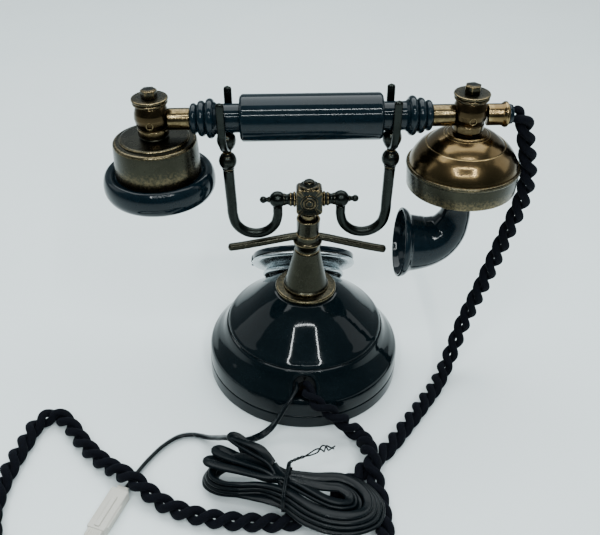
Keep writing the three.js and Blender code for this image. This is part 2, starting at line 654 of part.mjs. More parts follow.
function buildHank(group) {
  const hank = new THREE.Group();
  hank.position.set(HANK.x, HANK.y, 0);
  hank.rotation.z = HANK.turn;
  group.add(hank);
  const round = HANK.width / 2;
  const straight = HANK.length / 2 - round;
  const outline = new THREE.Shape();
  outline.moveTo(-straight, -round);
  outline.lineTo(-4, -round + 6);
  outline.lineTo(4, -round + 6);
  outline.lineTo(straight, -round);
  outline.absarc(straight, 0, round, -Math.PI / 2, Math.PI / 2, false);
  outline.lineTo(4, round - 6);
  outline.lineTo(-4, round - 6);
  outline.lineTo(-straight, round);
  outline.absarc(-straight, 0, round, Math.PI / 2, 3 * Math.PI / 2, false);
  node(hank, "line_cord_hank", prism(outline, HANK.low, HANK.high, 8), vinyl());
  const wide = round - 6 + GAP;
  const loop = new THREE.Shape();
  const across = wide + 1.2;
  const [low, high] = [HANK.low - GAP, HANK.high + GAP];
  const frame = (shape, w, bottom, top) => {
    [[-w, bottom], [w, bottom], [w, top], [-w, top]].forEach(([y, z], i) => {
      shape[i === 0 ? "moveTo" : "lineTo"](y, z);
    });
    shape.closePath();
  };
  frame(loop, across, low - 1.2, high + 1.2);
  const inside = new THREE.Path();
  frame(inside, wide, low, high);
  loop.holes.push(inside);
  const tie = closed(prism(loop, -0.8, 0.8)).rotateX(Math.PI / 2).rotateZ(Math.PI / 2);
  node(hank, "twist_tie", tie, vinyl());
}

function buildPlug(group) {
  const plug = new THREE.Group();
  plug.position.set(-115.6, -124.4, 0);
  plug.rotation.z = Math.atan2(-0.94, -0.335) + Math.PI / 2;
  group.add(plug);
  const body = join(
    block(11.6, 30, 7.6, 0, -17.6, 4.2), block(6.4, 4, 5, 0, -2, 4),
    block(7.6, 9, 5.4, 0, -35, 4.2), block(2.2, 21, 3, 6.4, -20, 4.2),
  );
  node(plug, "line_plug", body, white());
}

// The handset cord is two solids, so that the length above SPLIT_HEIGHT lifts with the handset.
function handsetCord(group) {
  const route = new THREE.CatmullRomCurve3(ROPE_ROUTE.map((p) => new THREE.Vector3(...p)));
  const all = route.getSpacedPoints(1200).map((p) => p.toArray());
  const split = all.findIndex(([, , z]) => z < SPLIT_HEIGHT);
  const thinned = (points, step) => points.filter((p, i) => {
    return i % step === 0 && i < points.length - step / 2 || i === 3 || i === points.length - 1;
  });
  const hanging = thinned(all.slice(0, split), 10);
  const lying = thinned(all.slice(split), 12);
  node(group, "handset_cord_hanging", bar(hanging, ROPE_RADIUS, 15, 8), fabric());
  node(group, "handset_cord", bar(lying, ROPE_RADIUS, 62, 8), fabric());
}

function buildCords(group) {
  handsetCord(group);
  node(group, "line_cord_near", bar(LEAD_TO_HANK, LEAD_RADIUS, 14, 6), vinyl());
  node(group, "line_cord_far", bar(LEAD_TO_PLUG, LEAD_RADIUS, 16, 6), vinyl());
  buildHank(group);
  buildPlug(group);
}

const telephone = new THREE.Group();
buildBase(telephone);
buildColumn(telephone);
buildDial(telephone);
buildCradle(telephone);
buildHandset(telephone);
buildCords(telephone);

export default telephone;
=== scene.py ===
"""Looks for a cradle telephone: turned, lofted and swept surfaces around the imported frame.

Shapes are worked out in millimetres with numpy and stored in metres. Each surface is a grid of
rings: a profile turned about an axis, or a section carried along a path.
"""

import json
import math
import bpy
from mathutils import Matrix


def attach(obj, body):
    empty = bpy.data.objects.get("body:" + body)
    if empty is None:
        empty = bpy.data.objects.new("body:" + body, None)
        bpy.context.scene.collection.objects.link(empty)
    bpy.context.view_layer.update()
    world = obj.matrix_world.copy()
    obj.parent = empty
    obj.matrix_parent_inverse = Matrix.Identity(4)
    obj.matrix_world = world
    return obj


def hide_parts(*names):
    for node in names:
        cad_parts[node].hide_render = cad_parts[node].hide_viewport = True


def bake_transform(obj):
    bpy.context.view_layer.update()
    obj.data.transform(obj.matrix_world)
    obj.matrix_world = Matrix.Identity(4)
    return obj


bl_info = {
    "name": "Cradle Telephone",
    "version": (1, 0, 0),
    "blender": (4, 5, 0),
    "location": "View3D > Sidebar > Telephone",
    "description": "Builds a cradle telephone with its cords around a packed frame",
    "category": "Add Mesh",
}

import bmesh
import bpy
import numpy as np
from mathutils import Matrix, Vector

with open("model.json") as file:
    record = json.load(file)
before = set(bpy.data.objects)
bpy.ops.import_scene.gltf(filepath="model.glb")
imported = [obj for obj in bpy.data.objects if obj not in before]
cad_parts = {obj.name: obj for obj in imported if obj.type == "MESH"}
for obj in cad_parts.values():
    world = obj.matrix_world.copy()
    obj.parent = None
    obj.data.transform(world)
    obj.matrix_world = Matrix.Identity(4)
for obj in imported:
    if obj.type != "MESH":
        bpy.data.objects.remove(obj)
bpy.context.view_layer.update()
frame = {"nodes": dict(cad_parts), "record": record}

MM = 0.001
TAU = 2 * math.pi
ROOT, DIAL, CRADLE, HANDSET = "telephone", "dial", "cradle", "handset"

# Places shared by several pieces, in millimetres.
LEAN = math.radians(1.9)  # the cradle and handset are a little higher at the mouthpiece
PIVOT = 142.3  # height of the cross bar
HANDSET_AXIS = 58.0  # height of the handset above the cross bar
HANDSET_SHIFT = 1.2  # the handset lies this far towards the mouthpiece
HUB_X = 97.1  # each end's barrel hub, from the handset's middle
ARM_X = 51.6  # each fork's post, from the cradle's middle
BALL_X = 20.8  # each cross bar's ball, from the cradle's middle
DIAL_SEAT = (0.0, 44.0, 47.5)
DIAL_TILT = math.radians(46)
ARCH_X, ARCH_HALF, ARCH_SPRING, ARCH_FOOT = -1.4, 8.0, 30.6, 24.4


# ---------------------------------------------------------------- curves and profiles


def spline(points, count):
    """A centripetal Catmull-Rom curve through the points, sampled at `count` even lengths."""
    p = np.asarray(points, float)
    p = np.vstack([2 * p[0] - p[1], p, 2 * p[-1] - p[-2]])
    step = np.sqrt(np.linalg.norm(np.diff(p, axis=0), axis=1))
    t = np.concatenate([[0.0], np.cumsum(np.maximum(step, 1e-6))])
    u = np.linspace(t[1], t[-2], 24 * len(points))
    i = np.clip(np.searchsorted(t, u, side="right") - 1, 1, len(p) - 3)
    t0, t1, t2, t3 = (t[i + k][:, None] for k in (-1, 0, 1, 2))
    p0, p1, p2, p3 = (p[i + k] for k in (-1, 0, 1, 2))
    w = u[:, None]
    a1 = ((t1 - w) * p0 + (w - t0) * p1) / (t1 - t0)
    a2 = ((t2 - w) * p1 + (w - t1) * p2) / (t2 - t1)
    a3 = ((t3 - w) * p2 + (w - t2) * p3) / (t3 - t2)
    b1 = ((t2 - w) * a1 + (w - t0) * a2) / (t2 - t0)
    b2 = ((t3 - w) * a2 + (w - t1) * a3) / (t3 - t1)
    c = ((t2 - w) * b1 + (w - t1) * b2) / (t2 - t1)
    return evenly(c, count)


def evenly(points, count):
    """The same line with its points at even lengths."""
    run = length_along(points)
    at = np.linspace(0, run[-1], count)
    return np.stack([np.interp(at, run, points[:, k]) for k in range(points.shape[1])], axis=1)


def length_along(points):
    """Length from the first point to each point."""
    return np.concatenate([[0.0], np.cumsum(np.linalg.norm(np.diff(points, axis=0), axis=1))])


def unit(v):
    return v / np.maximum(np.linalg.norm(v, axis=-1, keepdims=True), 1e-12)


def rounded(points, radius=0.4, steps=4, loop=False):
    """Rounds a profile's corners with short curves, and says how worn each point is.

    A corner at p becomes the curve a(1-t)^2 + 2pt(1-t) + bt^2, where a and b lie `radius` before
    and after it. Wear is the corner's turn over a right angle: positive where the metal stands
    out and negative where it is hollow.
    """
    p = np.asarray([q[:2] for q in points], float)
    own = [q[2] if len(q) > 2 else radius for q in points]
    closed = np.vstack([p, p[:1]])
    area = np.sum(closed[:-1, 0] * closed[1:, 1] - closed[1:, 0] * closed[:-1, 1])
    sense = 1.0 if area > 0 else -1.0
    out, wear = [], []
    n = len(p)
    for i in range(n):
        if not loop and i in (0, n - 1):
            out.append(p[i : i + 1])
            wear.append([0.0])
            continue
        before, after = p[i - 1] - p[i], p[(i + 1) % n] - p[i]
        la, lb = np.linalg.norm(before), np.linalg.norm(after)
        if la < 1e-9 or lb < 1e-9:
            continue
        turn = math.atan2(
            -before[0] * after[1] + before[1] * after[0], -before @ after
        )
        if abs(turn) < 0.16:
            out.append(p[i : i + 1])
            wear.append([0.0])
            continue
        a = p[i] + before / la * min(own[i], 0.42 * la)
        b = p[i] + after / lb * min(own[i], 0.42 * lb)
        t = np.linspace(0, 1, steps + 1)[:, None]
        out.append(a * (1 - t) ** 2 + 2 * p[i] * t * (1 - t) + b * t**2)
        hump = np.sin(np.pi * np.linspace(0.12, 0.88, steps + 1))
        wear.append(sense * turn / (math.pi / 2) * hump)
    return np.vstack(out), np.concatenate(wear)


def arc(cx, cz, rx, rz, start, end, count):
    """Points of an ellipse from one angle to the other, in degrees."""
    a = np.radians(np.linspace(start, end, count))
    return [(cx + rx * c, cz + rz * s) for c, s in zip(np.cos(a), np.sin(a))]


# ---------------------------------------------------------------- meshes


def skin(rings, loop=False, ends=None, along=None):
    """Quads between neighbouring rings of an (n, m, 3) grid, each ring closed on itself.

    loop joins the last ring to the first. Otherwise each end is closed by a fan of triangles to
    the points in `ends`, or to the ring's own middle. The UV map runs along the rings in
    centimetres and once round each ring.
    """
    n, m = rings.shape[:2]
    v = rings.reshape(-1, 3)
    i = np.arange(n if loop else n - 1)[:, None]
    j = np.arange(m)[None, :]
    k, q = (i + 1) % n, (j + 1) % m
    quads = np.stack([i * m + j, i * m + q, k * m + q, k * m + j], axis=-1).reshape(-1, 4)
    if along is None:
        along = length_along(rings.mean(axis=1)) + length_along(rings[:, 0])
    u = np.append(along, 2 * along[-1] - along[-2]) / 10
    zero = np.zeros_like(i * m + j, dtype=float)
    lo, hi = u[i] + zero, u[i + 1] + zero
    a, b = j / m + zero, (j + 1) / m + zero
    uv = np.stack(
        [np.stack([lo, a], -1), np.stack([lo, b], -1), np.stack([hi, b], -1), np.stack([hi, a], -1)],
        axis=2,
    ).reshape(-1, 2)
    tris = np.zeros((0, 3), int)
    if not loop:
        if ends is None:
            ends = [rings[0].mean(axis=0), rings[-1].mean(axis=0)]
        v = np.vstack([v, np.asarray(ends, float).reshape(2, 3)])
        j = np.arange(m)
        first, last = n * m, n * m + 1
        base = (n - 1) * m
        tris = np.vstack([
            np.stack([j * 0 + first, (j + 1) % m, j], axis=-1),
            np.stack([j * 0 + last, base + j, base + (j + 1) % m], axis=-1),
        ])
        cap = np.stack([j / m, (j + 1) / m], axis=-1)
        cap_uv = np.zeros((2 * m, 3, 2))
        cap_uv[:m, :, 0] = u[0]
        cap_uv[m:, :, 0] = u[n - 1]
        cap_uv[:, 1, 1] = np.concatenate([cap[:, 1], cap[:, 0]])
        cap_uv[:, 2, 1] = np.concatenate([cap[:, 0], cap[:, 1]])
        cap_uv[:, 0, 1] = cap_uv[:, 1, 1]
        uv = np.vstack([uv, cap_uv.reshape(-1, 2)])
    return {"v": v, "quads": quads, "tris": tris, "uv": uv, "wear": np.zeros(len(v))}


def turned(profile, sides=96, radius=0.4, loop=False, steps=4):
    """A profile of (radius, height) turned about Z: x = r cos a, y = r sin a, z = h.

    A profile that starts and ends on the axis closes at its poles. With loop it joins itself.
    """
    line, wear = rounded(profile, radius, steps, loop)
    ends = None
    if not loop:
        ends = [(0, 0, line[0, 1]), (0, 0, line[-1, 1])]
        line, wear = line[1:-1], wear[1:-1]
    a = np.arange(sides) * TAU / sides
    r, z = line[:, 0, None], line[:, 1, None]
    rings = np.stack([r * np.cos(a), r * np.sin(a), z + 0 * a], axis=-1)
    part = skin(rings, loop, ends, length_along(line))
    part["wear"] = np.concatenate([np.repeat(wear, sides), np.zeros(0 if loop else 2)])
    return outward(part)


def outward(part):
    """Turns every face round if the surface encloses a negative volume."""
    v, q, t = part["v"], part["quads"], part["tris"]
    all_tris = np.vstack([q[:, [0, 1, 2]], q[:, [0, 2, 3]], t])
    a, b, c = (v[all_tris[:, k]] for k in range(3))
    if np.einsum("ij,ij->", a, np.cross(b, c)) < 0:
        nq = len(q) * 4
        part["quads"], part["tris"] = q[:, ::-1], t[:, ::-1]
        quad_uv = part["uv"][:nq].reshape(-1, 4, 2)[:, ::-1].reshape(-1, 2)
        tri_uv = part["uv"][nq:].reshape(-1, 3, 2)[:, ::-1].reshape(-1, 2)
        part["uv"] = np.vstack([quad_uv, tri_uv])
    return part


def frames(path, reference):
    """Side and up directions along a path, square to it: side = path x reference."""
    tangent = unit(np.gradient(path, axis=0))
    ref = np.broadcast_to(np.asarray(reference, float), path.shape)
    side = unit(np.cross(tangent, ref))
    return tangent, side, unit(np.cross(side, tangent))


def section(wide, thick, sides=20, power=2.0):
    """An oval ring: x = wide |cos a|^(2/power), y = thick |sin a|^(2/power), keeping signs."""
    a = (np.arange(sides) + 0.5) * TAU / sides
    c, s = np.cos(a), np.sin(a)
    e = 2.0 / power
    return np.stack([wide * np.sign(c) * abs(c) ** e, thick * np.sign(s) * abs(s) ** e], -1)


def swept(path, outline, reference=(0, 0, 1), scale=None, loop=False):
    """An outline carried along a path: point = path + x side + y up, times the scale there."""
    _, side, up = frames(path, reference)
    if loop:
        tangent = unit(np.roll(path, -1, 0) - np.roll(path, 1, 0))
        side = unit(np.cross(tangent, np.broadcast_to(np.asarray(reference, float), path.shape)))
        up = unit(np.cross(side, tangent))
    size = np.ones((len(path), 2)) if scale is None else np.asarray(scale, float)
    if size.ndim == 1:
        size = np.stack([size, size], -1)
    x = outline[None, :, 0, None] * size[:, None, 0, None]
    y = outline[None, :, 1, None] * size[:, None, 1, None]
    rings = path[:, None] + x * side[:, None] + y * up[:, None]
    return outward(skin(rings, loop, along=length_along(path)))


def prism(outline, low, high, bevel=0.4, steps=3):
    """A flat outline raised from low to high, drawn in by `bevel` along a quarter circle."""
    line, wear = rounded(outline, bevel * 1.4, steps, True)
    middle = line.mean(axis=0)
    reach = np.linalg.norm(line - middle, axis=1).max()
    a = np.linspace(0, math.pi / 2, steps + 1)
    inset = np.concatenate([bevel * (1 - np.sin(a)), bevel * (1 - np.cos(a))])
    height = np.concatenate([low + bevel * (1 - np.cos(a)), high - bevel * (1 - np.sin(a))])
    shrink = 1 - inset / reach
    xy = middle + (line - middle)[None] * shrink[:, None, None]
    z = np.broadcast_to(height[:, None, None], xy.shape[:2] + (1,))
    part = skin(np.concatenate([xy, z], axis=-1))
    bright = np.concatenate([np.sin(2 * a), np.sin(2 * a)])
    each = np.maximum(bright[:, None], wear[None]).ravel()
    part["wear"] = np.concatenate([each, [0, 0]])
    return outward(part)


def box(width, depth, height, centre=(0, 0, 0), bevel=0.5):
    """A block with rounded edges, centred on a point."""
    w, d = width / 2, depth / 2
    part = prism([(-w, -d), (w, -d), (w, d), (-w, d)], -height / 2, height / 2, bevel)
    part["v"] = part["v"] + np.asarray(centre, float)
    return part


def moved(part, matrix=None, shift=(0, 0, 0)):
    """A copy of a part, turned by a matrix and then shifted."""
    v = part["v"]
    if matrix is not None:
        v = v @ np.asarray(matrix, float)[:3, :3].T
    return {**part, "v": v + np.asarray(shift, float)}


def turn_about(axis, angle):
    return np.array(Matrix.Rotation(angle, 3, axis))


ALONG_X = turn_about("Y", math.pi / 2)
ALONG_MINUS_X = turn_about("Y", -math.pi / 2)
TO_FRONT = turn_about("X", math.pi / 2)  # +Z becomes -Y
LEANING = turn_about("Y", -LEAN)
DIAL_TURN = turn_about("X", -DIAL_TILT)


def joined(*parts):
    """Several parts as one mesh."""
    start = np.cumsum([0] + [len(p["v"]) for p in parts])
    quad_uv = [p["uv"][: 4 * len(p["quads"])] for p in parts]
    tri_uv = [p["uv"][4 * len(p["quads"]) :] for p in parts]
    return {
        "v": np.vstack([p["v"] for p in parts]),
        "quads": np.vstack([p["quads"] + s for p, s in zip(parts, start)]),
        "tris": np.vstack([p["tris"] + s for p, s in zip(parts, start)]),
        "uv": np.vstack(quad_uv + tri_uv),
        "wear": np.concatenate([p["wear"] for p in parts]),
    }


def on_cradle(part, x=0.0):
    return moved(moved(part, shift=(x, 0, 0)), LEANING, (0, 0, PIVOT))


def on_handset(part, x=0.0):
    place = moved(part, shift=(x + HANDSET_SHIFT, 0, HANDSET_AXIS))
    return moved(place, LEANING, (0, 0, PIVOT))


def on_dial(part):
    return moved(part, DIAL_TURN, DIAL_SEAT)


def mesh_object(name, part, material):
    """Puts a part's arrays into a mesh, with its wear as an attribute and its UV map."""
    quads, tris = part["quads"], part["tris"]
    corners = np.concatenate([quads.ravel(), tris.ravel()]).astype(np.int32)
    sizes = np.concatenate([np.full(len(quads), 4), np.full(len(tris), 3)]).astype(np.int32)
    mesh = bpy.data.meshes.new(name)
    mesh.vertices.add(len(part["v"]))
    mesh.vertices.foreach_set("co", (part["v"] * MM).astype(np.float32).ravel())
    mesh.loops.add(len(corners))
    mesh.loops.foreach_set("vertex_index", corners)
    mesh.polygons.add(len(sizes))
    starts = np.concatenate([[0], np.cumsum(sizes)[:-1]]).astype(np.int32)
    mesh.polygons.foreach_set("loop_start", starts)
    mesh.polygons.foreach_set("use_smooth", np.ones(len(sizes), bool))
    layer = mesh.uv_layers.new(name="Along")
    layer.uv.foreach_set("vector", part["uv"].astype(np.float32).ravel())
    wear = mesh.attributes.new("wear", "FLOAT", "POINT")
    wear.data.foreach_set("value", part["wear"].astype(np.float32))
    mesh.update(calc_edges=True)
    mesh.validate()
    mesh.materials.append(material)
    thing = bpy.data.objects.new(name, mesh)
    bpy.context.scene.collection.objects.link(thing)
    return thing


def piece(name, part, material, body, slot, *nodes):
    """A finished piece: it rides on a body and stands for CAD nodes, which it hides; its slot is not used."""
    thing = mesh_object(name, part, material)
    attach(thing, body)
    if nodes:
        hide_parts(*nodes)
    return thing


# ---------------------------------------------------------------- node helpers


def new_group(name, inputs, outputs):
    """A shader node group with its sockets: (name, kind, default) in, (name, kind) out."""
    group = bpy.data.node_groups.new(name, "ShaderNodeTree")
    kinds = {"value": "NodeSocketFloat", "colour": "NodeSocketColor", "vector": "NodeSocketVector"}
    for label, kind, default in inputs:
        socket = group.interface.new_socket(name=label, in_out="INPUT", socket_type=kinds[kind])
        if default is not None:
            socket.default_value = default
    for label, kind in outputs:
        group.interface.new_socket(name=label, in_out="OUTPUT", socket_type=kinds[kind])
    return group, group.nodes.new("NodeGroupInput"), group.nodes.new("NodeGroupOutput")


def add(tree, kind, settings=None, **inputs):
    """A node with its settings made and its inputs set or linked. "_" in a name is a space."""
    node = tree.nodes.new(kind)
    for key, value in (settings or {}).items():
        setattr(node, key, value)
    for key, value in inputs.items():
        if key.startswith("in") and key[2:].isdigit():
            socket = node.inputs[int(key[2:])]
        else:
            socket = node.inputs[key.replace("_", " ")]
        if isinstance(value, bpy.types.NodeSocket):
            tree.links.new(value, socket)
        else:
            socket.default_value = value
    return node


def math_node(tree, operation, a, b=0.0, clamp=False):
    settings = {"operation": operation, "use_clamp": clamp}
    return add(tree, "ShaderNodeMath", settings, in0=a, in1=b).outputs[0]


def mix_colour(tree, factor, a, b, blend="MIX"):
    settings = {"data_type": "RGBA", "blend_type": blend}
    return add(tree, "ShaderNodeMix", settings, in0=factor, in6=a, in7=b).outputs[2]


def span(tree, value, low, high, to_low=0.0, to_high=1.0):
    """Maps a value from one range to another, clamped."""
    node = add(
        tree, "ShaderNodeMapRange", {"clamp": True},
        Value=value, From_Min=low, From_Max=high, To_Min=to_low, To_Max=to_high,
    )
    return node.outputs[0]


def noise(tree, vector, scale, detail=3.0, rough=0.5):
    return add(
        tree, "ShaderNodeTexNoise", None, Vector=vector, Scale=scale, Detail=detail, Roughness=rough
    ).outputs["Fac"]


def mottle_group():
    """Cloudy variation: broad noise mixed with fine noise, as one value from 0 to 1."""
    group, start, end = new_group(
        "Mottle", [("Vector", "vector", None), ("Broad", "value", 60.0), ("Fine", "value", 400.0)],
        [("Value", "value")],
    )
    broad = noise(group, start.outputs["Vector"], start.outputs["Broad"], 4.0)
    fine = noise(group, start.outputs["Vector"], start.outputs["Fine"], 3.0)
    broad = math_node(group, "MULTIPLY", broad, 0.65)
    fine = math_node(group, "MULTIPLY", fine, 0.35)
    total = math_node(group, "ADD", broad, fine)
    group.links.new(span(group, total, 0.32, 0.68), end.inputs["Value"])
    return group


def worn_edge_group():
    """Mask of rubbed edges: the wear attribute, broken up by noise and sharpened."""
    group, start, end = new_group(
        "Worn Edge", [("Vector", "vector", None), ("Amount", "value", 1.0), ("Scale", "value", 500.0)],
        [("Edge", "value"), ("Hollow", "value")],
    )
    wear = add(group, "ShaderNodeAttribute", {"attribute_name": "wear"}).outputs["Fac"]
    grit = noise(group, start.outputs["Vector"], start.outputs["Scale"], 4.0, 0.6)
    raised = math_node(group, "MULTIPLY", math_node(group, "MAXIMUM", wear, 0.0), start.outputs["Amount"])
    broken = math_node(group, "MULTIPLY", raised, span(group, grit, 0.25, 0.65, 0.35, 1.25))
    group.links.new(span(group, broken, 0.12, 0.62), end.inputs["Edge"])
    hollow = math_node(group, "MAXIMUM", math_node(group, "MULTIPLY", wear, -1.0), 0.0)
    group.links.new(span(group, hollow, 0.05, 0.7), end.inputs["Hollow"])
    return group


def dust_group():
    """Fine specks of dust: small cells, thresholded, as a mask."""
    group, start, end = new_group(
        "Dust", [("Vector", "vector", None), ("Scale", "value", 900.0), ("Amount", "value", 0.4)],
        [("Mask", "value")],
    )
    cells = add(
        group, "ShaderNodeTexVoronoi", None, Vector=start.outputs["Vector"], Scale=start.outputs["Scale"]
    )
    near = span(group, cells.outputs["Distance"], 0.05, 0.16, 1.0, 0.0)
    some = span(group, noise(group, start.outputs["Vector"], 260.0, 2.0), 0.60, 0.70)
    mask = math_node(group, "MULTIPLY", math_node(group, "MULTIPLY", near, some), start.outputs["Amount"])
    group.links.new(mask, end.inputs["Mask"])
    return group


def scratch_group():
    """Height of fine rubbing marks: noise stretched along one direction."""
    group, start, end = new_group(
        "Rubbing Marks", [("Vector", "vector", None), ("Scale", "value", 1.0)], [("Height", "value")]
    )
    long_way = add(
        group, "ShaderNodeMapping", None, Vector=start.outputs["Vector"], Scale=(2500.0, 2500.0, 160.0)
    ).outputs[0]
    scaled = add(
        group, "ShaderNodeVectorMath", {"operation": "SCALE"}, Vector=long_way, Scale=start.outputs["Scale"]
    ).outputs[0]
    group.links.new(noise(group, scaled, 1.0, 2.0), end.inputs["Height"])
    return group


def twist_group():
    """Height of spun yarn: bands slanting round a strand, from its UV map."""
    group, start, end = new_group(
        "Spun Yarn",
        [("Along", "value", 14.0), ("Round", "value", 9.0), ("Slant", "value", 1.0)],
        [("Height", "value"), ("Fleck", "value")],
    )
    uv = add(group, "ShaderNodeUVMap", {"uv_map": "Along"}).outputs[0]
    parts = add(group, "ShaderNodeSeparateXYZ", None, Vector=uv)
    run = math_node(group, "MULTIPLY", parts.outputs["X"], start.outputs["Along"])
    across = math_node(group, "MULTIPLY", parts.outputs["Y"], start.outputs["Round"])
    heights = []
    for sign in ("ADD", "SUBTRACT"):
        phase = math_node(group, sign, run, across)
        wave = math_node(group, "SINE", math_node(group, "MULTIPLY", phase, TAU))
        heights.append(span(group, wave, -1.0, 1.0))
    weave = math_node(group, "MULTIPLY", heights[0], heights[1])
    here = add(group, "ShaderNodeTexCoord").outputs["Object"]
    fluff = noise(group, here, 1800.0, 3.0)
    weave = math_node(group, "MULTIPLY", weave, 0.7)
    fluff = math_node(group, "MULTIPLY", fluff, 0.5)
    total = math_node(group, "ADD", weave, fluff)
    group.links.new(total, end.inputs["Height"])
    group.links.new(span(group, noise(group, here, 700.0, 3.0), 0.35, 0.7), end.inputs["Fleck"])
    return group


class Finish:
    """The shared node groups and the finished materials, each made once."""

    groups = {}
    made = {}

    @classmethod
    def group(cls, name):
        makers = {
            "Mottle": mottle_group, "Worn Edge": worn_edge_group, "Dust": dust_group,
            "Rubbing Marks": scratch_group, "Spun Yarn": twist_group,
        }
        if name not in cls.groups:
            cls.groups[name] = makers[name]()
        return cls.groups[name]


def use(tree, name, **inputs):
    """Places a shared group in a material and sets its inputs."""
    node = tree.nodes.new("ShaderNodeGroup")
    node.node_tree = Finish.group(name)
    for key, value in inputs.items():
        socket = node.inputs[key]
        if isinstance(value, bpy.types.NodeSocket):
            tree.links.new(value, socket)
        else:
            socket.default_value = value
    return node


def new_material(name):
    """An empty node material: its tree, Principled shader and Object coordinates."""
    material = bpy.data.materials.new(name)
    material.use_nodes = True
    tree = material.node_tree
    shader = tree.nodes["Principled BSDF"]
    here = tree.nodes.new("ShaderNodeTexCoord").outputs["Object"]
    return material, tree, shader, here


def rgba(colour):
    return (*tuple(colour)[:3], 1.0)


def bump(tree, shader, height, strength, distance):
    node = add(tree, "ShaderNodeBump", None, Height=height, Strength=strength, Distance=distance)
    tree.links.new(node.outputs["Normal"], shader.inputs["Normal"])


def metal(name, base, dark, bright, edge=1.0, smooth=0.16, dull=0.36, marks=0.05):
    """Aged metal: mottled base, dark hollows, bright rubbed edges and fine marks."""
    material, tree, shader, here = new_material(name)
    mottled = use(tree, "Mottle", Vector=here, Broad=70.0, Fine=520.0).outputs["Value"]
    rubbed = use(tree, "Worn Edge", Vector=here, Amount=edge, Scale=650.0)
    colour = mix_colour(tree, span(tree, mottled, 0.0, 1.0, 0.0, 0.4), rgba(base), rgba(dark))
    colour = mix_colour(tree, math_node(tree, "MULTIPLY", rubbed.outputs["Hollow"], 0.8), colour, rgba(dark))
    colour = mix_colour(tree, rubbed.outputs["Edge"], colour, rgba(bright))
    tree.links.new(colour, shader.inputs["Base Color"])
    rough = span(tree, mottled, 0.0, 1.0, smooth, dull)
    rough = math_node(tree, "ADD", rough, math_node(tree, "MULTIPLY", rubbed.outputs["Hollow"], 0.2))
    tree.links.new(rough, shader.inputs["Roughness"])
    shader.inputs["Metallic"].default_value = 1.0
    rub = use(tree, "Rubbing Marks", Vector=here, Scale=1.0).outputs["Height"]
    bump(tree, shader, rub, marks, 0.0001)
    return material


def lacquer(name, colour, smooth=0.045, shine=0.20, specks=0.35):
    """Hard dark gloss: faint mottling, a trace of dust, and a shallow ripple."""
    material, tree, shader, here = new_material(name)
    mottled = use(tree, "Mottle", Vector=here, Broad=35.0, Fine=300.0).outputs["Value"]
    dust = use(tree, "Dust", Vector=here, Scale=800.0, Amount=specks).outputs["Mask"]
    lighter = [min(1.0, 1.6 * c + 0.0015) for c in colour]
    deep = mix_colour(tree, mottled, rgba(colour), rgba(lighter))
    tree.links.new(mix_colour(tree, dust, deep, (0.20, 0.21, 0.22, 1.0)), shader.inputs["Base Color"])
    rough = span(tree, mottled, 0.0, 1.0, smooth, smooth + 0.035)
    rough = math_node(tree, "ADD", rough, math_node(tree, "MULTIPLY", dust, 0.5))
    tree.links.new(rough, shader.inputs["Roughness"])
    shader.inputs["Specular IOR Level"].default_value = shine
    bump(tree, shader, noise(tree, here, 90.0, 2.0), 0.035, 0.0006)
    return material


def yarn(name, colour):
    """Soft spun cord: slanting yarn, paler flecks and a short nap."""
    material, tree, shader, here = new_material(name)
    spun = use(tree, "Spun Yarn", Along=11.0, Round=8.0)
    paler = [2.2 * c + 0.0012 for c in colour]
    shade = mix_colour(tree, spun.outputs["Fleck"], rgba(colour), rgba(paler))
    tree.links.new(shade, shader.inputs["Base Color"])
    rough = span(tree, spun.outputs["Fleck"], 0.0, 1.0, 0.82, 0.95)
    tree.links.new(rough, shader.inputs["Roughness"])
    shader.inputs["Specular IOR Level"].default_value = 0.10
    shader.inputs["Sheen Weight"].default_value = 0.03
    shader.inputs["Sheen Roughness"].default_value = 0.4
    shader.inputs["Sheen Tint"].default_value = (0.25, 0.33, 0.5, 1.0)
    bump(tree, shader, spun.outputs["Height"], 0.7, 0.0004)
    return material


def moulded(name, colour, smooth=0.3, dull=0.42, grain=0.05, dark=0.75, specks=0.15):
    """Moulded plastic or card: gentle mottling, fine grain and a little dust."""
    material, tree, shader, here = new_material(name)
    mottled = use(tree, "Mottle", Vector=here, Broad=45.0, Fine=600.0).outputs["Value"]
    dust = use(tree, "Dust", Vector=here, Scale=700.0, Amount=specks).outputs["Mask"]
    darker = [dark * c for c in colour]
    shade = mix_colour(tree, mottled, rgba(colour), rgba(darker))
    tree.links.new(mix_colour(tree, dust, shade, (0.3, 0.3, 0.3, 1.0)), shader.inputs["Base Color"])
    shader.inputs["Specular IOR Level"].default_value = 0.17
    tree.links.new(span(tree, mottled, 0.0, 1.0, smooth, dull), shader.inputs["Roughness"])
    bump(tree, shader, noise(tree, here, 1500.0, 2.0), grain, 0.0002)
    return material


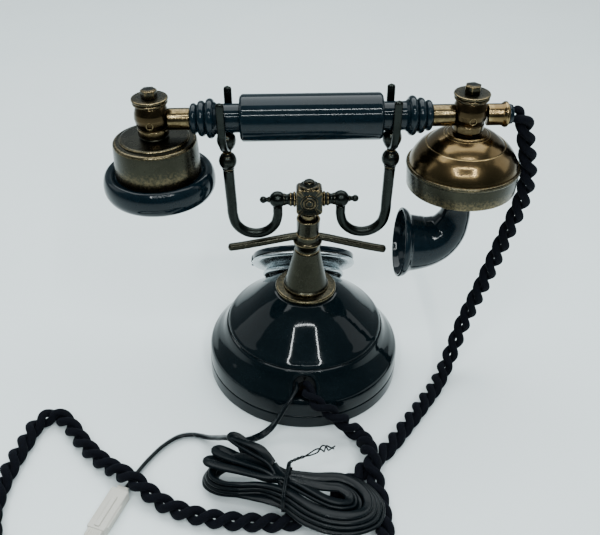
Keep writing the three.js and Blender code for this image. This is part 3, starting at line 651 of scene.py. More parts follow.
def finish(name):
    """The finished material of that name, made the first time it is asked for."""
    look = bpy.context.scene.telephone_look
    makers = {
        "enamel": lambda: lacquer("Black enamel", look.enamel),
        "handle": lambda: lacquer("Blue-black handle gloss", look.handle, 0.07, 0.24),
        "bronze": lambda: metal(
            "Olive bronze", look.bronze, [0.5 * c for c in look.bronze], (0.30, 0.23, 0.12), 0.8, 0.2, 0.34,
        ),
        "brass": lambda: metal(
            "Golden brass", look.brass, [0.55 * c for c in look.brass], (0.42, 0.31, 0.15), 0.9, 0.14, 0.25
        ),
        "tube": lambda: metal(
            "Brown brass", [0.42 * c + 0.003 for c in look.brass], [0.26 * c for c in look.brass],
            (0.30, 0.23, 0.12), 0.8, 0.14, 0.27,
        ),
        "gunmetal": lambda: metal(
            "Blackened bronze", look.gunmetal, [0.4 * c for c in look.gunmetal], (0.19, 0.14, 0.07),
            0.9, 0.2, 0.34,
        ),
        "chrome": lambda: metal(
            "Bright plating", look.chrome, [0.7 * c for c in look.chrome], (0.8, 0.82, 0.84),
            0.5, 0.15, 0.32, 0.03,
        ),
        "steel": lambda: metal("Plain steel", (0.4, 0.41, 0.42), (0.2, 0.2, 0.2), (0.6, 0.6, 0.6)),
        "rope": lambda: yarn("Twisted yarn", look.rope),
        "vinyl": lambda: moulded("Dark cord jacket", look.vinyl, 0.24, 0.36, 0.04),
        "plug": lambda: moulded("Warm white plastic", look.plug, 0.3, 0.45, 0.05, 0.92),
        "card": lambda: moulded("Dial card", (0.78, 0.77, 0.72), 0.4, 0.5, 0.03, 0.94),
        "ink": lambda: moulded("Printed ink", (0.02, 0.02, 0.022), 0.4, 0.5, 0.02),
        "block": lambda: moulded("Brown moulding", (0.06, 0.05, 0.035), 0.5, 0.6),
        "dark": lambda: moulded("Shadowed inside", (0.01, 0.012, 0.013), 0.5, 0.7),
    }
    if name not in Finish.made:
        Finish.made[name] = makers[name]()
    return Finish.made[name]


# ---------------------------------------------------------------- sizes and colours


def colour_prop(name, description, default):
    return bpy.props.FloatVectorProperty(
        name=name, description=description, subtype="COLOR", size=3, min=0.0, max=1.0, default=default
    )


def length_prop(name, description, default):
    return bpy.props.FloatProperty(
        name=name, description=description, default=default, unit="LENGTH", min=0.0
    )


class TelephoneLook(bpy.types.PropertyGroup):
    """Colours of the finishes."""

    enamel: colour_prop("Enamel", "Base and shell", (0.0010, 0.0034, 0.0048))
    handle: colour_prop("Handle", "Grip, ear cap, horn and ring sleeves", (0.0016, 0.0058, 0.0090))
    bronze: colour_prop("Bronze", "Column, wings and receiver shell", (0.036, 0.035, 0.025))
    brass: colour_prop("Brass", "Bell, tubes and hubs", (0.142, 0.096, 0.044))
    gunmetal: colour_prop("Blackened bronze", "Cradle, arms and forks", (0.019, 0.022, 0.020))
    chrome: colour_prop("Plating", "Dial rings and finger stop", (0.46, 0.51, 0.53))
    rope: colour_prop("Handset cord", "Twisted yarn", (0.0010, 0.0014, 0.0030))
    vinyl: colour_prop("Line cord", "Flat cord's jacket", (0.0016, 0.0040, 0.0056))
    plug: colour_prop("Plug", "Line plug", (0.62, 0.60, 0.54))


class TelephoneSizes(bpy.types.PropertyGroup):
    """Sizes of the cords, in metres."""

    strand: length_prop("Strand radius", "Radius of each of the handset cord's two strands", 0.00278)
    strand_offset: length_prop("Strand offset", "Strand's distance from the cord's middle", 0.00312)
    twist: length_prop("Twist length", "Length of one full turn of the two strands", 0.0234)
    cord_width: length_prop("Line cord width", "Across the flat cord", 0.0056)
    cord_thickness: length_prop("Line cord thickness", "Through the flat cord", 0.0026)


# ---------------------------------------------------------------- stage


CAMERA_PLACE = (-0.02228, -0.42172, 0.39256)
CAMERA_PITCH, CAMERA_YAW, CAMERA_ROLL = (math.radians(a) for a in (35.94, 2.41, 1.94))
CAMERA_LENS = 44.63


def make_camera():
    """The camera: it looks down by its pitch, towards +Y turned by its yaw, and leans by its roll."""
    cp, sp = math.cos(CAMERA_PITCH), math.sin(CAMERA_PITCH)
    cy, sy = math.cos(CAMERA_YAW), math.sin(CAMERA_YAW)
    forward = np.array([sy * cp, cy * cp, -sp])
    right = np.array([cy, -sy, 0.0])
    up = np.cross(right, forward)
    cr, sr = math.cos(CAMERA_ROLL), math.sin(CAMERA_ROLL)
    right, up = right * cr + up * sr, up * cr - right * sr
    data = bpy.data.cameras.new("Camera")
    data.lens, data.sensor_width, data.sensor_fit = CAMERA_LENS, 36.0, "HORIZONTAL"
    data.clip_start, data.clip_end = 0.01, 50.0
    camera = bpy.data.objects.new("Camera", data)
    bpy.context.scene.collection.objects.link(camera)
    rows = np.stack([right, up, -forward], axis=1)
    place = Matrix.Identity(4)
    for i in range(3):
        for j in range(3):
            place[i][j] = rows[i, j]
        place[i][3] = CAMERA_PLACE[i]
    camera.matrix_world = place
    bpy.context.scene.camera = camera


def area_light(name, place, target, size, power, colour=(1, 1, 1)):
    """A flat lamp that points at the target and isn't itself seen by the camera."""
    data = bpy.data.lights.new(name, "AREA")
    data.shape = "RECTANGLE"
    data.size, data.size_y = size
    data.energy, data.color = power, colour
    light = bpy.data.objects.new(name, data)
    light.location = place
    direction = np.array(target, float) - np.array(place, float)
    light.rotation_mode = "QUATERNION"
    light.rotation_quaternion = Vector(direction).to_track_quat("-Z", "Y")
    light.visible_camera = False
    bpy.context.scene.collection.objects.link(light)
    return light


def make_floor():
    """A pale, level table: a square grid, x and y from -6 m to 6 m."""
    n = 25
    line = np.linspace(-6.0, 6.0, n)
    v = np.stack([np.tile(line, n), np.repeat(line, n), np.zeros(n * n)], -1)
    i, j = np.meshgrid(np.arange(n - 1), np.arange(n - 1), indexing="ij")
    a0 = (i * n + j).ravel()
    quads = np.stack([a0, a0 + 1, a0 + n + 1, a0 + n], -1)
    mesh = bpy.data.meshes.new("Table")
    mesh.from_pydata(v.tolist(), [], quads.tolist())
    mesh.polygons.foreach_set("use_smooth", np.ones(len(quads), bool))
    material, tree, shader, here = new_material("Pale table")
    mottled = use(tree, "Mottle", Vector=here, Broad=2.2, Fine=9.0).outputs["Value"]
    shade = mix_colour(tree, mottled, (0.81, 0.895, 0.905, 1.0), (0.85, 0.925, 0.935, 1.0))
    tree.links.new(shade, shader.inputs["Base Color"])
    shader.inputs["Roughness"].default_value = 0.42
    shader.inputs["Specular IOR Level"].default_value = 0.35
    mesh.materials.append(material)
    table = bpy.data.objects.new("Table", mesh)
    bpy.context.scene.collection.objects.link(table)


def make_sky():
    """Soft light from all round: palest towards +Y, mid grey overhead and dim towards -Y."""
    world = bpy.data.worlds.new("Studio")
    bpy.context.scene.world = world
    world.use_nodes = True
    tree = world.node_tree
    sky = tree.nodes["Background"]
    here = tree.nodes.new("ShaderNodeTexCoord").outputs["Generated"]
    axes = add(tree, "ShaderNodeSeparateXYZ", None, Vector=here)
    behind = span(tree, axes.outputs["Y"], -0.6, 0.7)
    above = span(tree, axes.outputs["Z"], -0.1, 0.9)
    low = mix_colour(tree, behind, (0.06, 0.08, 0.09, 1.0), (0.46, 0.53, 0.55, 1.0))
    tree.links.new(mix_colour(tree, above, low, (0.20, 0.24, 0.25, 1.0)), sky.inputs["Color"])
    sky.inputs["Strength"].default_value = 0.9


# ---------------------------------------------------------------- cords


ROPE_ROUTE = [
    (123.8, 0, 204.5), (126.8, 0, 204), (130.9, 0, 199.6), (134, 0, 189.6), (138.2, 0, 175),
    (141, 0, 162.3), (141.4, 0, 148.6), (139.2, 0, 133.8), (136.3, 0, 119.7), (133.2, 0, 104.8),
    (130, 0, 89.4), (126.7, 0, 73.4), (123, 0, 58), (118.9, -1, 42.5), (115.6, -3.4, 31),
    (111.6, -8.6, 19.4), (107, -15.6, 11), (101, -26, 6.6), (94.6, -37, 5.4), (85.6, -50, 5.2),
    (76.2, -63.6, 5.2), (66.6, -76.6, 5.2), (58.3, -88, 5.2), (49.8, -98, 5.2),
    (42, -105.4, 5.2), (31, -116, 5.2), (18, -130, 5.2), (4, -143, 5.2), (-12, -149.4, 5.2),
    (-29.8, -150, 5.2), (-50, -148.4, 5.2), (-68, -145, 5.2), (-84, -139, 5.2),
    (-96.3, -131.5, 7.6), (-107.5, -123.3, 10.4), (-118, -115.6, 9.4), (-130, -106, 5.8),
    (-142, -95, 5.2), (-152, -83.6, 5.2), (-162, -70.6, 5.2), (-172, -64, 5.2),
    (-181.6, -72, 5.2), (-186, -90, 5.2), (-189.5, -108.9, 5.2), (-191, -128, 5.2),
    (-189, -148, 5.2), (-180, -168, 5.2), (-164, -183, 5.2), (-140, -192, 5.2),
    (-110, -195.6, 5.2), (-75, -197, 5.2), (-40, -197.6, 5.2), (-5, -196, 5.2),
    (22, -189, 5.2), (38, -176, 5.2), (44.6, -160, 5.2), (45, -146, 5.3), (44.3, -132, 5.4),
    (42.3, -119, 10.5), (40.6, -107, 15.9), (39.2, -94.6, 11.8), (37.6, -85, 6.6),
    (34.6, -80.2, 6.2), (30, -79.6, 10.2), (24.4, -80, 17.4), (17.8, -79.6, 24),
    (10.4, -77.4, 28.4), (4.2, -72.8, 30.2), (1.2, -65.4, 30.4), (0.9, -58, 30.3),
    (1, -51.4, 30.3),
]
LEAD_TO_HANK = [
    (-6.6, -51.4, 31), (-6.7, -58, 31), (-7.2, -65, 31.8), (-10.2, -71.4, 30.8),
    (-14.4, -75.4, 26), (-18.2, -77.8, 19.6), (-22.8, -80, 12.6), (-29, -84, 9.4),
    (-35, -90, 12), (-39.4, -96, 16.6), (-42.6, -101.4, 18.8),
]
LEAD_TO_PLUG = [
    (-30, -112, 27), (-42, -104.6, 25.6), (-52, -96.6, 20), (-59, -89.4, 12), (-66, -83.4, 5.6),
    (-74, -79, 2.6), (-85, -80, 2.2), (-95, -88, 2.2), (-102.6, -98.4, 2.1),
    (-108.2, -108.4, 2.1), (-111.6, -116.4, 2.2), (-115.6, -124.4, 3.4), (-116.6, -127, 3.6),
]
ROPE_POINTS, LINE_POINTS = 1150, 1500  # points along each cord's middle
ROPE_LOWEST, LINE_LOWEST = 5.9, 2.9  # lowest heights of the cords' middles, in millimetres


def strand(middle, n1, n2, offset, radius, phase, turns, sides=12):
    """One ply: a tube whose middle winds round the cord's line at `offset`, with `turns` angles."""
    angle = turns + phase
    out = np.cos(angle)[:, None] * n1 + np.sin(angle)[:, None] * n2
    run = length_along(middle)
    slim = 0.82 + 0.18 * np.clip((run[-1] - 22 - run) / 30, 0, 1) * np.clip((run + 6) / 14, 0, 1)
    line = middle + (offset * slim)[:, None] * out
    tangent = unit(np.gradient(line, axis=0))
    out = unit(out - tangent * np.einsum("ij,ij->i", out, tangent)[:, None])
    other = np.cross(tangent, out)
    a = np.arange(sides) * TAU / sides
    ring = np.cos(a)[None, :, None] * out[:, None] + np.sin(a)[None, :, None] * other[:, None]
    size = radius * slim
    size[0] = size[-1] = radius * 0.5
    return outward(skin(line[:, None] + size[:, None, None] * ring, along=length_along(line)))


def make_handset_cord():
    """Two strands twisted round one line."""
    sizes = bpy.context.scene.telephone_sizes
    middle = spline(ROPE_ROUTE, ROPE_POINTS)
    run = length_along(middle)
    middle[:, 2] = np.maximum(middle[:, 2], ROPE_LOWEST)
    upright = np.clip((middle[:, 2] - 12) / 46, 0, 1)
    upright[run > 400] = 0
    upright = (upright * upright * (3 - 2 * upright))[:, None]
    reference = unit(upright * np.array([0.0, -1.0, 0.0]) + (1 - upright) * np.array([0.0, 0.0, 1.0]))
    _, side, up = frames(middle, reference)
    turns = TAU * run / (sizes.twist / MM) + 0.35 * np.sin(run / 37.0)
    offset, radius = sizes.strand_offset / MM, sizes.strand / MM
    plies = [strand(middle, side, up, offset, radius, phase, turns) for phase in (0.0, math.pi)]
    cord = mesh_object("handset_cord_twisted", joined(*plies), finish("rope"))
    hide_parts("handset_cord", "handset_cord_hanging")
    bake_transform(cord)


def hank_route():
    """The hank's loops: ovals on each side of the tie, and three folds that stand out on the left.

    Each turn runs round the left oval, through the tie, round the right oval and back through
    the tie, a little smaller than the one before. A fold goes out to its tip and comes back.
    """
    points = []
    folds = {5: (-49.0, -96.0, 21.0), 6: (-58.6, -105.6, 19.5), 7: (-63.6, -112.4, 17.5)}
    lean = -0.20
    c, s = math.cos(lean), math.sin(lean)
    for k in range(8):
        shrink = 1 - 0.06 * k
        low = 14.0 + 2.3 * (k % 4) + (1.5 if k > 3 else 0.0)
        if k in folds:
            tip = np.array(folds[k][:2])
            base = np.array([-14.5, -130.5 - 2.0 * (k - 5)])
            d = unit((tip - base)[None])[0]
            n = np.array([d[1], -d[0]])
            reach = np.linalg.norm(tip - base)
            for f, w, lift in [(0.25, 1.5, -1.2), (0.55, 3.0, -1.6), (0.84, 3.4, -1.4), (0.97, 2.2, -0.6),
                               (1.0, 0.0, 0.3), (0.97, -2.4, 1.2), (0.84, -3.2, 1.8), (0.55, -2.2, 2.4),
                               (0.25, -1.2, 3.0)]:
                points.append((*(base + f * reach * d + w * n), folds[k][2] * f + 22.0 * (1 - f) + lift))
        else:
            for a in range(90 if k == 0 else 50, 311, 37):
                r = math.radians(a)
                x, y = 24.0 * shrink * math.cos(r), 13.0 * shrink * math.sin(r)
                droop = 8.0 * max(0.0, -math.cos(r)) * (1 - 0.08 * k)
                points.append((-41.0 + c * x - s * y, -123.0 + s * x + c * y, low - droop))
        points.append((-16.8 + 0.3 * k, -144.0 + 1.9 * k, low + 1.0))
        for a in range(-124, 125, 35):
            r = math.radians(a)
            x, y = 28.5 * (1 - 0.1 * k) * math.cos(r), 19.5 * (1 - 0.105 * k) * math.sin(r)
            droop = 3.0 * max(0.0, math.cos(r)) ** 2
            points.append((15.5 + c * x - s * y, -142.0 + s * x + c * y, low - droop))
        points.append((-12.4 - 0.2 * k, -123.8 - 1.2 * k, low + 1.8))
    return points


# The way the flat cord's edge faces in its two free lengths.
EDGE_WAY = np.array([0.0, -0.81, 0.59])


def make_line_cord():
    """A flat cord on one line from the base through its hank to the plug, with its tie and plug."""
    sizes = bpy.context.scene.telephone_sizes
    middle = spline(LEAD_TO_HANK + hank_route() + LEAD_TO_PLUG, LINE_POINTS)
    run = length_along(middle)
    middle[:, 2] = np.maximum(middle[:, 2], LINE_LOWEST)
    outline = section(sizes.cord_width / MM / 2, sizes.cord_thickness / MM / 2, 14, 3.0)
    tangent, side, up = frames(middle, (0, 0, 1))
    inside = np.clip((run - 70) / 50, 0, 1) * np.clip((run[-1] - 105 - run) / 50, 0, 1)
    roll = inside * (0.45 + 0.4 * np.sin(run / 41.0) + 0.2 * np.sin(run / 17.3))
    c, s = np.cos(roll)[:, None], np.sin(roll)[:, None]
    side = side * c + up * s
    flip = np.where(side[:, 1:2] > 0, -1.0, 1.0)
    edge_on = EDGE_WAY - tangent * (tangent @ EDGE_WAY)[:, None]
    near_end = np.clip((62 - run) / 36, 0, 1)
    far_end = 1 - np.clip((run[-1] - 105 - run) / 40, 0, 1)
    share = np.where(run > run[-1] / 2, far_end, near_end)
    share = (share * share * (3 - 2 * share))[:, None]
    side = unit(share * unit(edge_on) + (1 - share) * side * np.where(share > 0, flip, 1.0))
    up = np.cross(side, tangent)
    rings = (
        middle[:, None]
        + outline[None, :, 0, None] * side[:, None]
        + outline[None, :, 1, None] * up[:, None]
    )
    cord = mesh_object("line_cord_flat", outward(skin(rings, along=run)), finish("vinyl"))
    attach(cord, ROOT)
    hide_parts("line_cord_near", "line_cord_far", "line_cord_hank")
    plug = make_plug()
    tie = make_tie()


def make_plug():
    """A small moulded plug: body, stepped nose, spring latch and contact slots."""
    body = box(11.6, 30, 7.6, (0, -17.6, 4.2), 0.7)
    step = box(9.4, 7, 6.2, (0, -34.6, 4.2), 0.6)
    neck = box(7.4, 4.5, 4.6, (0, -1.6, 4.1), 0.6)
    latch = box(3.4, 22, 1.3, (0, -20, 8.3), 0.4)
    rail = box(1.6, 17, 1.6, (5.9, -21, 6.4), 0.4)
    ribs = [box(0.7, 4.6, 0.7, (x, -35.4, 7.3), 0.2) for x in (-3, -1.5, 0, 1.5, 3)]
    turn = turn_about("Z", math.atan2(-0.94, -0.335) + math.pi / 2)
    part = moved(joined(body, step, neck, latch, rail, *ribs), turn, (-115.6, -124.4, 0.2))
    return piece("line_plug_moulded", part, finish("plug"), ROOT, "plug", "line_plug")


def make_tie():
    """A wire tie: two turns round the hank's waist and a twisted tail of its two ends."""
    t = np.linspace(0, 2 * TAU, 160)
    reach = 1.0 / (np.abs(np.cos(t)) ** 4 + np.abs(np.sin(t)) ** 4) ** 0.25
    y = -134.4 + 14.2 * np.cos(t) * reach
    z = 19.6 + 8.6 * np.sin(t) * reach
    x = -15.0 + 0.16 * (y + 134.4) + 1.1 * t / TAU
    band = swept(np.stack([x, y, z], -1), section(0.6, 0.6, 8, 2.0), (1, 0.1, 0))
    line = spline([(-12.6, -121.4, 26), (-7.4, -119.6, 27.4), (0, -115.6, 26.4), (8, -111.6, 27),
                   (16.6, -109.4, 26)], 90)
    _, side, up = frames(line, (0, 0, 1))
    run = length_along(line)
    spread = 0.55 + 1.5 * np.clip((run - 14) / 12, 0, 1) * (1 - 0.5 * np.clip((run - 26) / 6, 0, 1))
    wires = []
    for phase in (0.0, math.pi):
        a = TAU * run / 4.6 * np.clip(1.3 - run / 26, 0.25, 1.0) + phase
        offset = np.cos(a)[:, None] * side + np.sin(a)[:, None] * up
        wires.append(swept(line + spread[:, None] * offset, section(0.5, 0.5, 8, 2.0), (0, 0.2, 1)))
    return piece("twist_tie_wire", joined(band, *wires), finish("vinyl"), ROOT, "vinyl", "twist_tie")


# ---------------------------------------------------------------- base


BAND = [(69.6, 10.9), (69.5, 19), (69.0, 22), (68.2, 23.6)]
COVE = [(68.2, 23.6), (66.8, 25.2), (64.4, 28.2), (61.8, 31.2), (59.7, 34.2), (58.2, 37.2), (57.2, 39.3)]
DOME = [
    (55.8, 41.9), (54.4, 43.9), (51.5, 46.2), (47.8, 49.4), (43.5, 53.1), (38.8, 57.2),
    (33.8, 61.4), (28.4, 65.4), (22.6, 69.0),
]


def shell_radius(z):
    """Outside radius of the shell's cove at a height."""
    line = spline([(r, h, 0) for r, h in COVE], 80)
    order = np.argsort(line[:, 1])
    return np.interp(z, line[order, 1], line[order, 0])


def arch_outline(grow=0.0, low=ARCH_FOOT):
    """The cable arch: straight sides under a half circle, as (x, z)."""
    half = ARCH_HALF + grow
    a = np.linspace(0, math.pi, 25)
    top = np.stack([ARCH_X + half * np.cos(a), ARCH_SPRING + half * np.sin(a)], -1)
    return np.vstack([[(ARCH_X + half, low)], top, [(ARCH_X - half, low)]])


def flowing(line, count):
    """Points of a smooth curve through a profile's points."""
    return [tuple(p) for p in spline([(r, z, 0) for r, z in line], count)[:, :2]]


def make_base():
    """Round base: plate, ogee shell with the cable arch, arch rim, neck under the dial."""
    enamel = finish("enamel")
    plate = turned(
        [(0, 0), (69.5, 0, 0.6), (70, 0.8), (69.8, 9.6), (69.3, 10.3, 0.4), (66.6, 10.3), (66.6, 3), (0, 3)],
        160, 0.5,
    )
    piece("base_plate_turned", plate, enamel, ROOT, "enamel", "base_plate")
    profile = [
        (69.2, 10.6, 0.3), *BAND[:3], *flowing(COVE, 26), (56.6, 40.2, 0.3), (55.4, 40.6, 0.3),
        (55.5, 41.2, 0.3), *flowing(DOME, 34), (20.4, 69.3), (6.9, 69.3), (6.9, 67.2), (22, 66.4),
        (36, 56.4), (46, 47.6), (52.6, 41.4), (54.4, 37.6), (58.8, 30.2), (66.4, 20.4), (67.1, 10.6),
    ]
    shell = mesh_object("base_shell_ogee", turned(profile, 240, 0.5, loop=True), enamel)
    tool = prism([tuple(p) for p in arch_outline()], 40.0, 90.0, 0.02, 1)
    cutter = mesh_object("arch_cutter", moved(tool, TO_FRONT), enamel)
    cut = shell.modifiers.new("Arch", "BOOLEAN")
    cut.operation, cut.object, cut.solver = "DIFFERENCE", cutter, "EXACT"
    bpy.context.view_layer.objects.active = shell
    bpy.ops.object.modifier_apply(modifier=cut.name)
    bpy.data.objects.remove(cutter, do_unlink=True)
    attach(shell, ROOT)
    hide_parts("base_shell")
    edge = evenly(arch_outline(1.0), 90)
    y = -np.sqrt(np.maximum(shell_radius(edge[:, 1]) ** 2 - edge[:, 0] ** 2, 1.0))
    rim_line = np.stack([edge[:, 0], y - 0.35, edge[:, 1]], -1)
    rim = swept(rim_line, section(1.25, 1.0, 14, 2.2), (0, -1, 0.35))
    piece("cable_arch_rim", rim, enamel, ROOT, "enamel")
    # The arch's tunnel wall takes the matte near-black 'Shadowed inside' finish instead of the enamel:
    # painted shade inside the arch.
    liner_depth = np.array([-50.0, -53.0, -57.0, -61.5])
    inner, outer = arch_outline(-0.15), arch_outline(1.0)
    ring = np.vstack([outer, inner[::-1]])
    rings = np.stack([ring[:, 0][None].repeat(4, 0), liner_depth[:, None].repeat(len(ring), 1),
                      ring[:, 1][None].repeat(4, 0)], -1)
    reach = -np.sqrt(np.maximum(shell_radius(ring[:, 1]) ** 2 - ring[:, 0] ** 2, 1.0)) + 0.4
    rings[-1, :, 1] = reach
    rings[-2, :, 1] = (reach + rings[1, :, 1]) / 2
    piece("cable_arch_liner", outward(skin(rings)), finish("dark"), ROOT, "enamel")
    # A matte near-black sheet behind the arch, standing for the shade inside the hollow base: painted shade.
    shade_sheet = box(30, 1.2, 26, (ARCH_X, -50.2, 31), 0.3)
    piece("arch_backing", shade_sheet, finish("dark"), ROOT, "enamel")
    neck = turned([(26.8, -15), (26.8, -1.4), (26.2, -1.0), (24.4, -1.0), (24.4, -15)], 120, 0.4, loop=True)
    piece("dial_neck", on_dial(neck), enamel, ROOT, "enamel")


# ---------------------------------------------------------------- column


def make_column():
    """Flange, cone, winged bracket and cup, stacked on the base's axis."""
    bronze = finish("bronze")
    flange = turned(
        [(6.8, 69.5), (21.3, 69.5, 0.2), (21.5, 70.0), (21.5, 71.7, 0.5), (20.7, 72.4), (6.8, 72.4)],
        128, 0.5, loop=True,
    )
    piece("column_flange_turned", flange, bronze, ROOT, "bronze", "column_flange")
    cone = turned(
        [(5.4, 56), (6.4, 56), (6.4, 72.7), (15.9, 72.7), (15.9, 74.1, 0.4), (14.7, 75.2), (14.5, 75.8),
         (8.9, 102.2, 0.3), (8.5, 102.9), (5.4, 102.9)], 112, 0.4, loop=True,
    )
    piece("column_cone_turned", cone, bronze, ROOT, "bronze", "column_cone")
    hub = turned(
        [(5.4, 103.1), (8.5, 103.1), (8.3, 104.4), (8.6, 105.6), (9.6, 108.4), (10.1, 110, 0.5),
         (9.5, 111.2), (8.1, 112.0), (7.9, 115.7), (5.4, 115.7)], 96, 0.4, loop=True,
    )
    t = np.linspace(0, 1, 60)
    wings = []
    for side in (-1, 1):
        points = [(5.6, 0, 113.4), (12, 0, 112.3), (25.6, 0, 109.1), (36, 0, 106.7), (46, 0, 104.5),
                  (54.5, 0, 103.0)]
        path = spline([(side * x, y, z) for x, y, z in points], 60)
        end = np.sqrt(np.clip(1 - np.clip((t - 0.955) / 0.045, 0, 1) ** 2, 0.0025, 1))
        scale = np.stack([(2.2 + 0.2 * t) * end, (3.1 - 0.3 * t) * end], -1)
        wings.append(swept(path, section(1, 1, 24, 2.6), (0, 1, 0), scale))
    piece("wing_bracket_cast", joined(hub, *wings), bronze, ROOT, "bronze", "wing_bracket")
    cup = turned(
        [(5.4, 116.0), (7.5, 116.0), (7.6, 118.0), (7.9, 126.4), (8.05, 127.2), (7.8, 127.7),
         (6.8, 127.7), (6.6, 127.0), (6.6, 118.6), (5.4, 118.6)], 96, 0.35, loop=True,
    )
    piece("column_cup_turned", cup, bronze, ROOT, "bronze", "column_cup")


# ---------------------------------------------------------------- dial


SECTORS = 12
HALF_SECTOR = math.radians(15)


def holed_wheel(radius, inner, low, high, hole, circle, count, first):
    """A disc with round holes, in twelve equal sectors, each joined to its neighbours.

    A holed sector's outline, 8 points a side, is drawn in to the hole's circle: p = c + r u,
    where u points from the hole's centre c to the outline. Its rings run down through the hole.
    """
    side = np.linspace(-1, 1, 9)[:-1]
    ones = np.ones(8)
    th = np.concatenate([side, ones, -side, -ones]) * HALF_SECTOR
    rr = np.concatenate([-ones, side, ones, -side])
    rr = inner + (rr + 1) / 2 * (radius - inner)
    parts = []
    bevel = 0.45
    for k in range(SECTORS):
        mid = first + k * math.pi / 6
        at = mid + th
        edge = np.stack([-rr * np.cos(at), -rr * np.sin(at)], -1)
        centre = np.array([-circle * math.cos(mid), -circle * math.sin(mid)])
        if k < count:
            u = unit(edge - centre)
            lip, wall = centre + (hole + bevel) * u, centre + hole * u
            stations = [(edge, high), ((edge + lip) / 2, high), (lip, high),
                        (centre + (hole + 0.13) * u, high - 0.13), (wall, high - bevel),
                        (wall, low + bevel), (centre + (hole + 0.13) * u, low + 0.13), (lip, low),
                        ((edge + lip) / 2, low), (edge, low)]
            rings = np.array([np.column_stack([xy, np.full(32, z)]) for xy, z in stations])
            part = skin(rings)
            part["tris"] = part["tris"][:0]
            part["uv"] = part["uv"][: 4 * len(part["quads"])]
            part["v"] = part["v"][:-2]
            part["wear"] = np.repeat([0, 0, 0.2, 0.9, 0.5, 0, 0.3, 0, 0, 0], 32).astype(float)
            parts.append(part)
        else:
            middle = edge.mean(axis=0)
            for z in (high, low):
                rings = np.array([np.column_stack([middle + (edge - middle) * f, np.full(32, z)])
                                  for f in (1.0, 0.6, 0.25)])
                v = np.vstack([rings.reshape(-1, 3), [(*middle, z)]])
                grid = skin(rings)
                j = np.arange(32)
                fan = np.stack([j + 64, (j + 1) % 32 + 64, j * 0 + 96], -1)
                uv = np.vstack([grid["uv"][: 4 * len(grid["quads"])], np.zeros((96, 2))])
                quads = grid["quads"]
                if z == low:
                    quads, fan = quads[:, ::-1], fan[:, ::-1]
                parts.append({"v": v, "quads": quads, "tris": fan, "uv": uv, "wear": np.zeros(97)})
    sectors = [first + k * math.pi / 6 + np.linspace(-1, 1, 9) * HALF_SECTOR for k in range(SECTORS)]
    a = np.unique(np.round(np.concatenate(sectors), 6))[:-1]
    for r, inward in ((radius, False), (inner, True)):
        xy = np.stack([-r * np.cos(a), -r * np.sin(a)], -1)
        swell = 1 + (0 if inward else 0.35 / radius)
        heights = [(1.0, high), (swell, high - 0.5), (swell, low + 0.5), (1.0, low)]
        rings = np.array([np.column_stack([xy * f, np.full(len(xy), z)]) for f, z in heights])
        wall = skin(rings)
        wall["tris"] = wall["tris"][:0]
        wall["uv"] = wall["uv"][: 4 * len(wall["quads"])]
        wall["v"] = wall["v"][:-2]
        wall["wear"] = wall["wear"][:-2]
        parts.append(wall)
    return joined(*parts)


def weld(thing, distance=1e-5):
    """Merges a mesh's doubled points and turns its faces outwards."""
    work = bmesh.new()
    work.from_mesh(thing.data)
    bmesh.ops.remove_doubles(work, verts=work.verts, dist=distance)
    bmesh.ops.recalc_face_normals(work, faces=work.faces)
    work.to_mesh(thing.data)
    work.free()
    thing.data.update()


def dial_digits():
    """The digits 1 to 9 and 0 on the dial card, one under each hole, as one flat mesh."""
    made = []
    for k in range(10):
        a = math.radians(45 + 30 * k)
        text = bpy.data.curves.new(f"digit_{k}", "FONT")
        text.body = str((k + 1) % 10)
        text.size, text.extrude = 0.0078, 0.00004
        text.align_x, text.align_y = "CENTER", "CENTER"
        letter = bpy.data.objects.new(f"digit_{k}", text)
        bpy.context.scene.collection.objects.link(letter)
        shift = Matrix.Translation((-0.029 * math.cos(a), -0.029 * math.sin(a), 0.01186))
        half_turn = Matrix.Rotation(math.pi, 4, "Z")
        letter.matrix_world = (
            Matrix.Translation([c * MM for c in DIAL_SEAT])
            @ Matrix.Rotation(-DIAL_TILT, 4, "X") @ shift @ half_turn
        )
        made.append(letter)
    bpy.ops.object.select_all(action="DESELECT")
    for letter in made:
        letter.select_set(True)
    bpy.context.view_layer.objects.active = made[0]
    bpy.ops.object.convert(target="MESH")
    bpy.ops.object.join()
    digits = bpy.context.view_layer.objects.active
    bpy.ops.object.transform_apply(location=True, rotation=True, scale=True)
    digits.name = "dial_digits"
    digits.data.materials.clear()
    digits.data.materials.append(finish("ink"))
    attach(digits, ROOT)


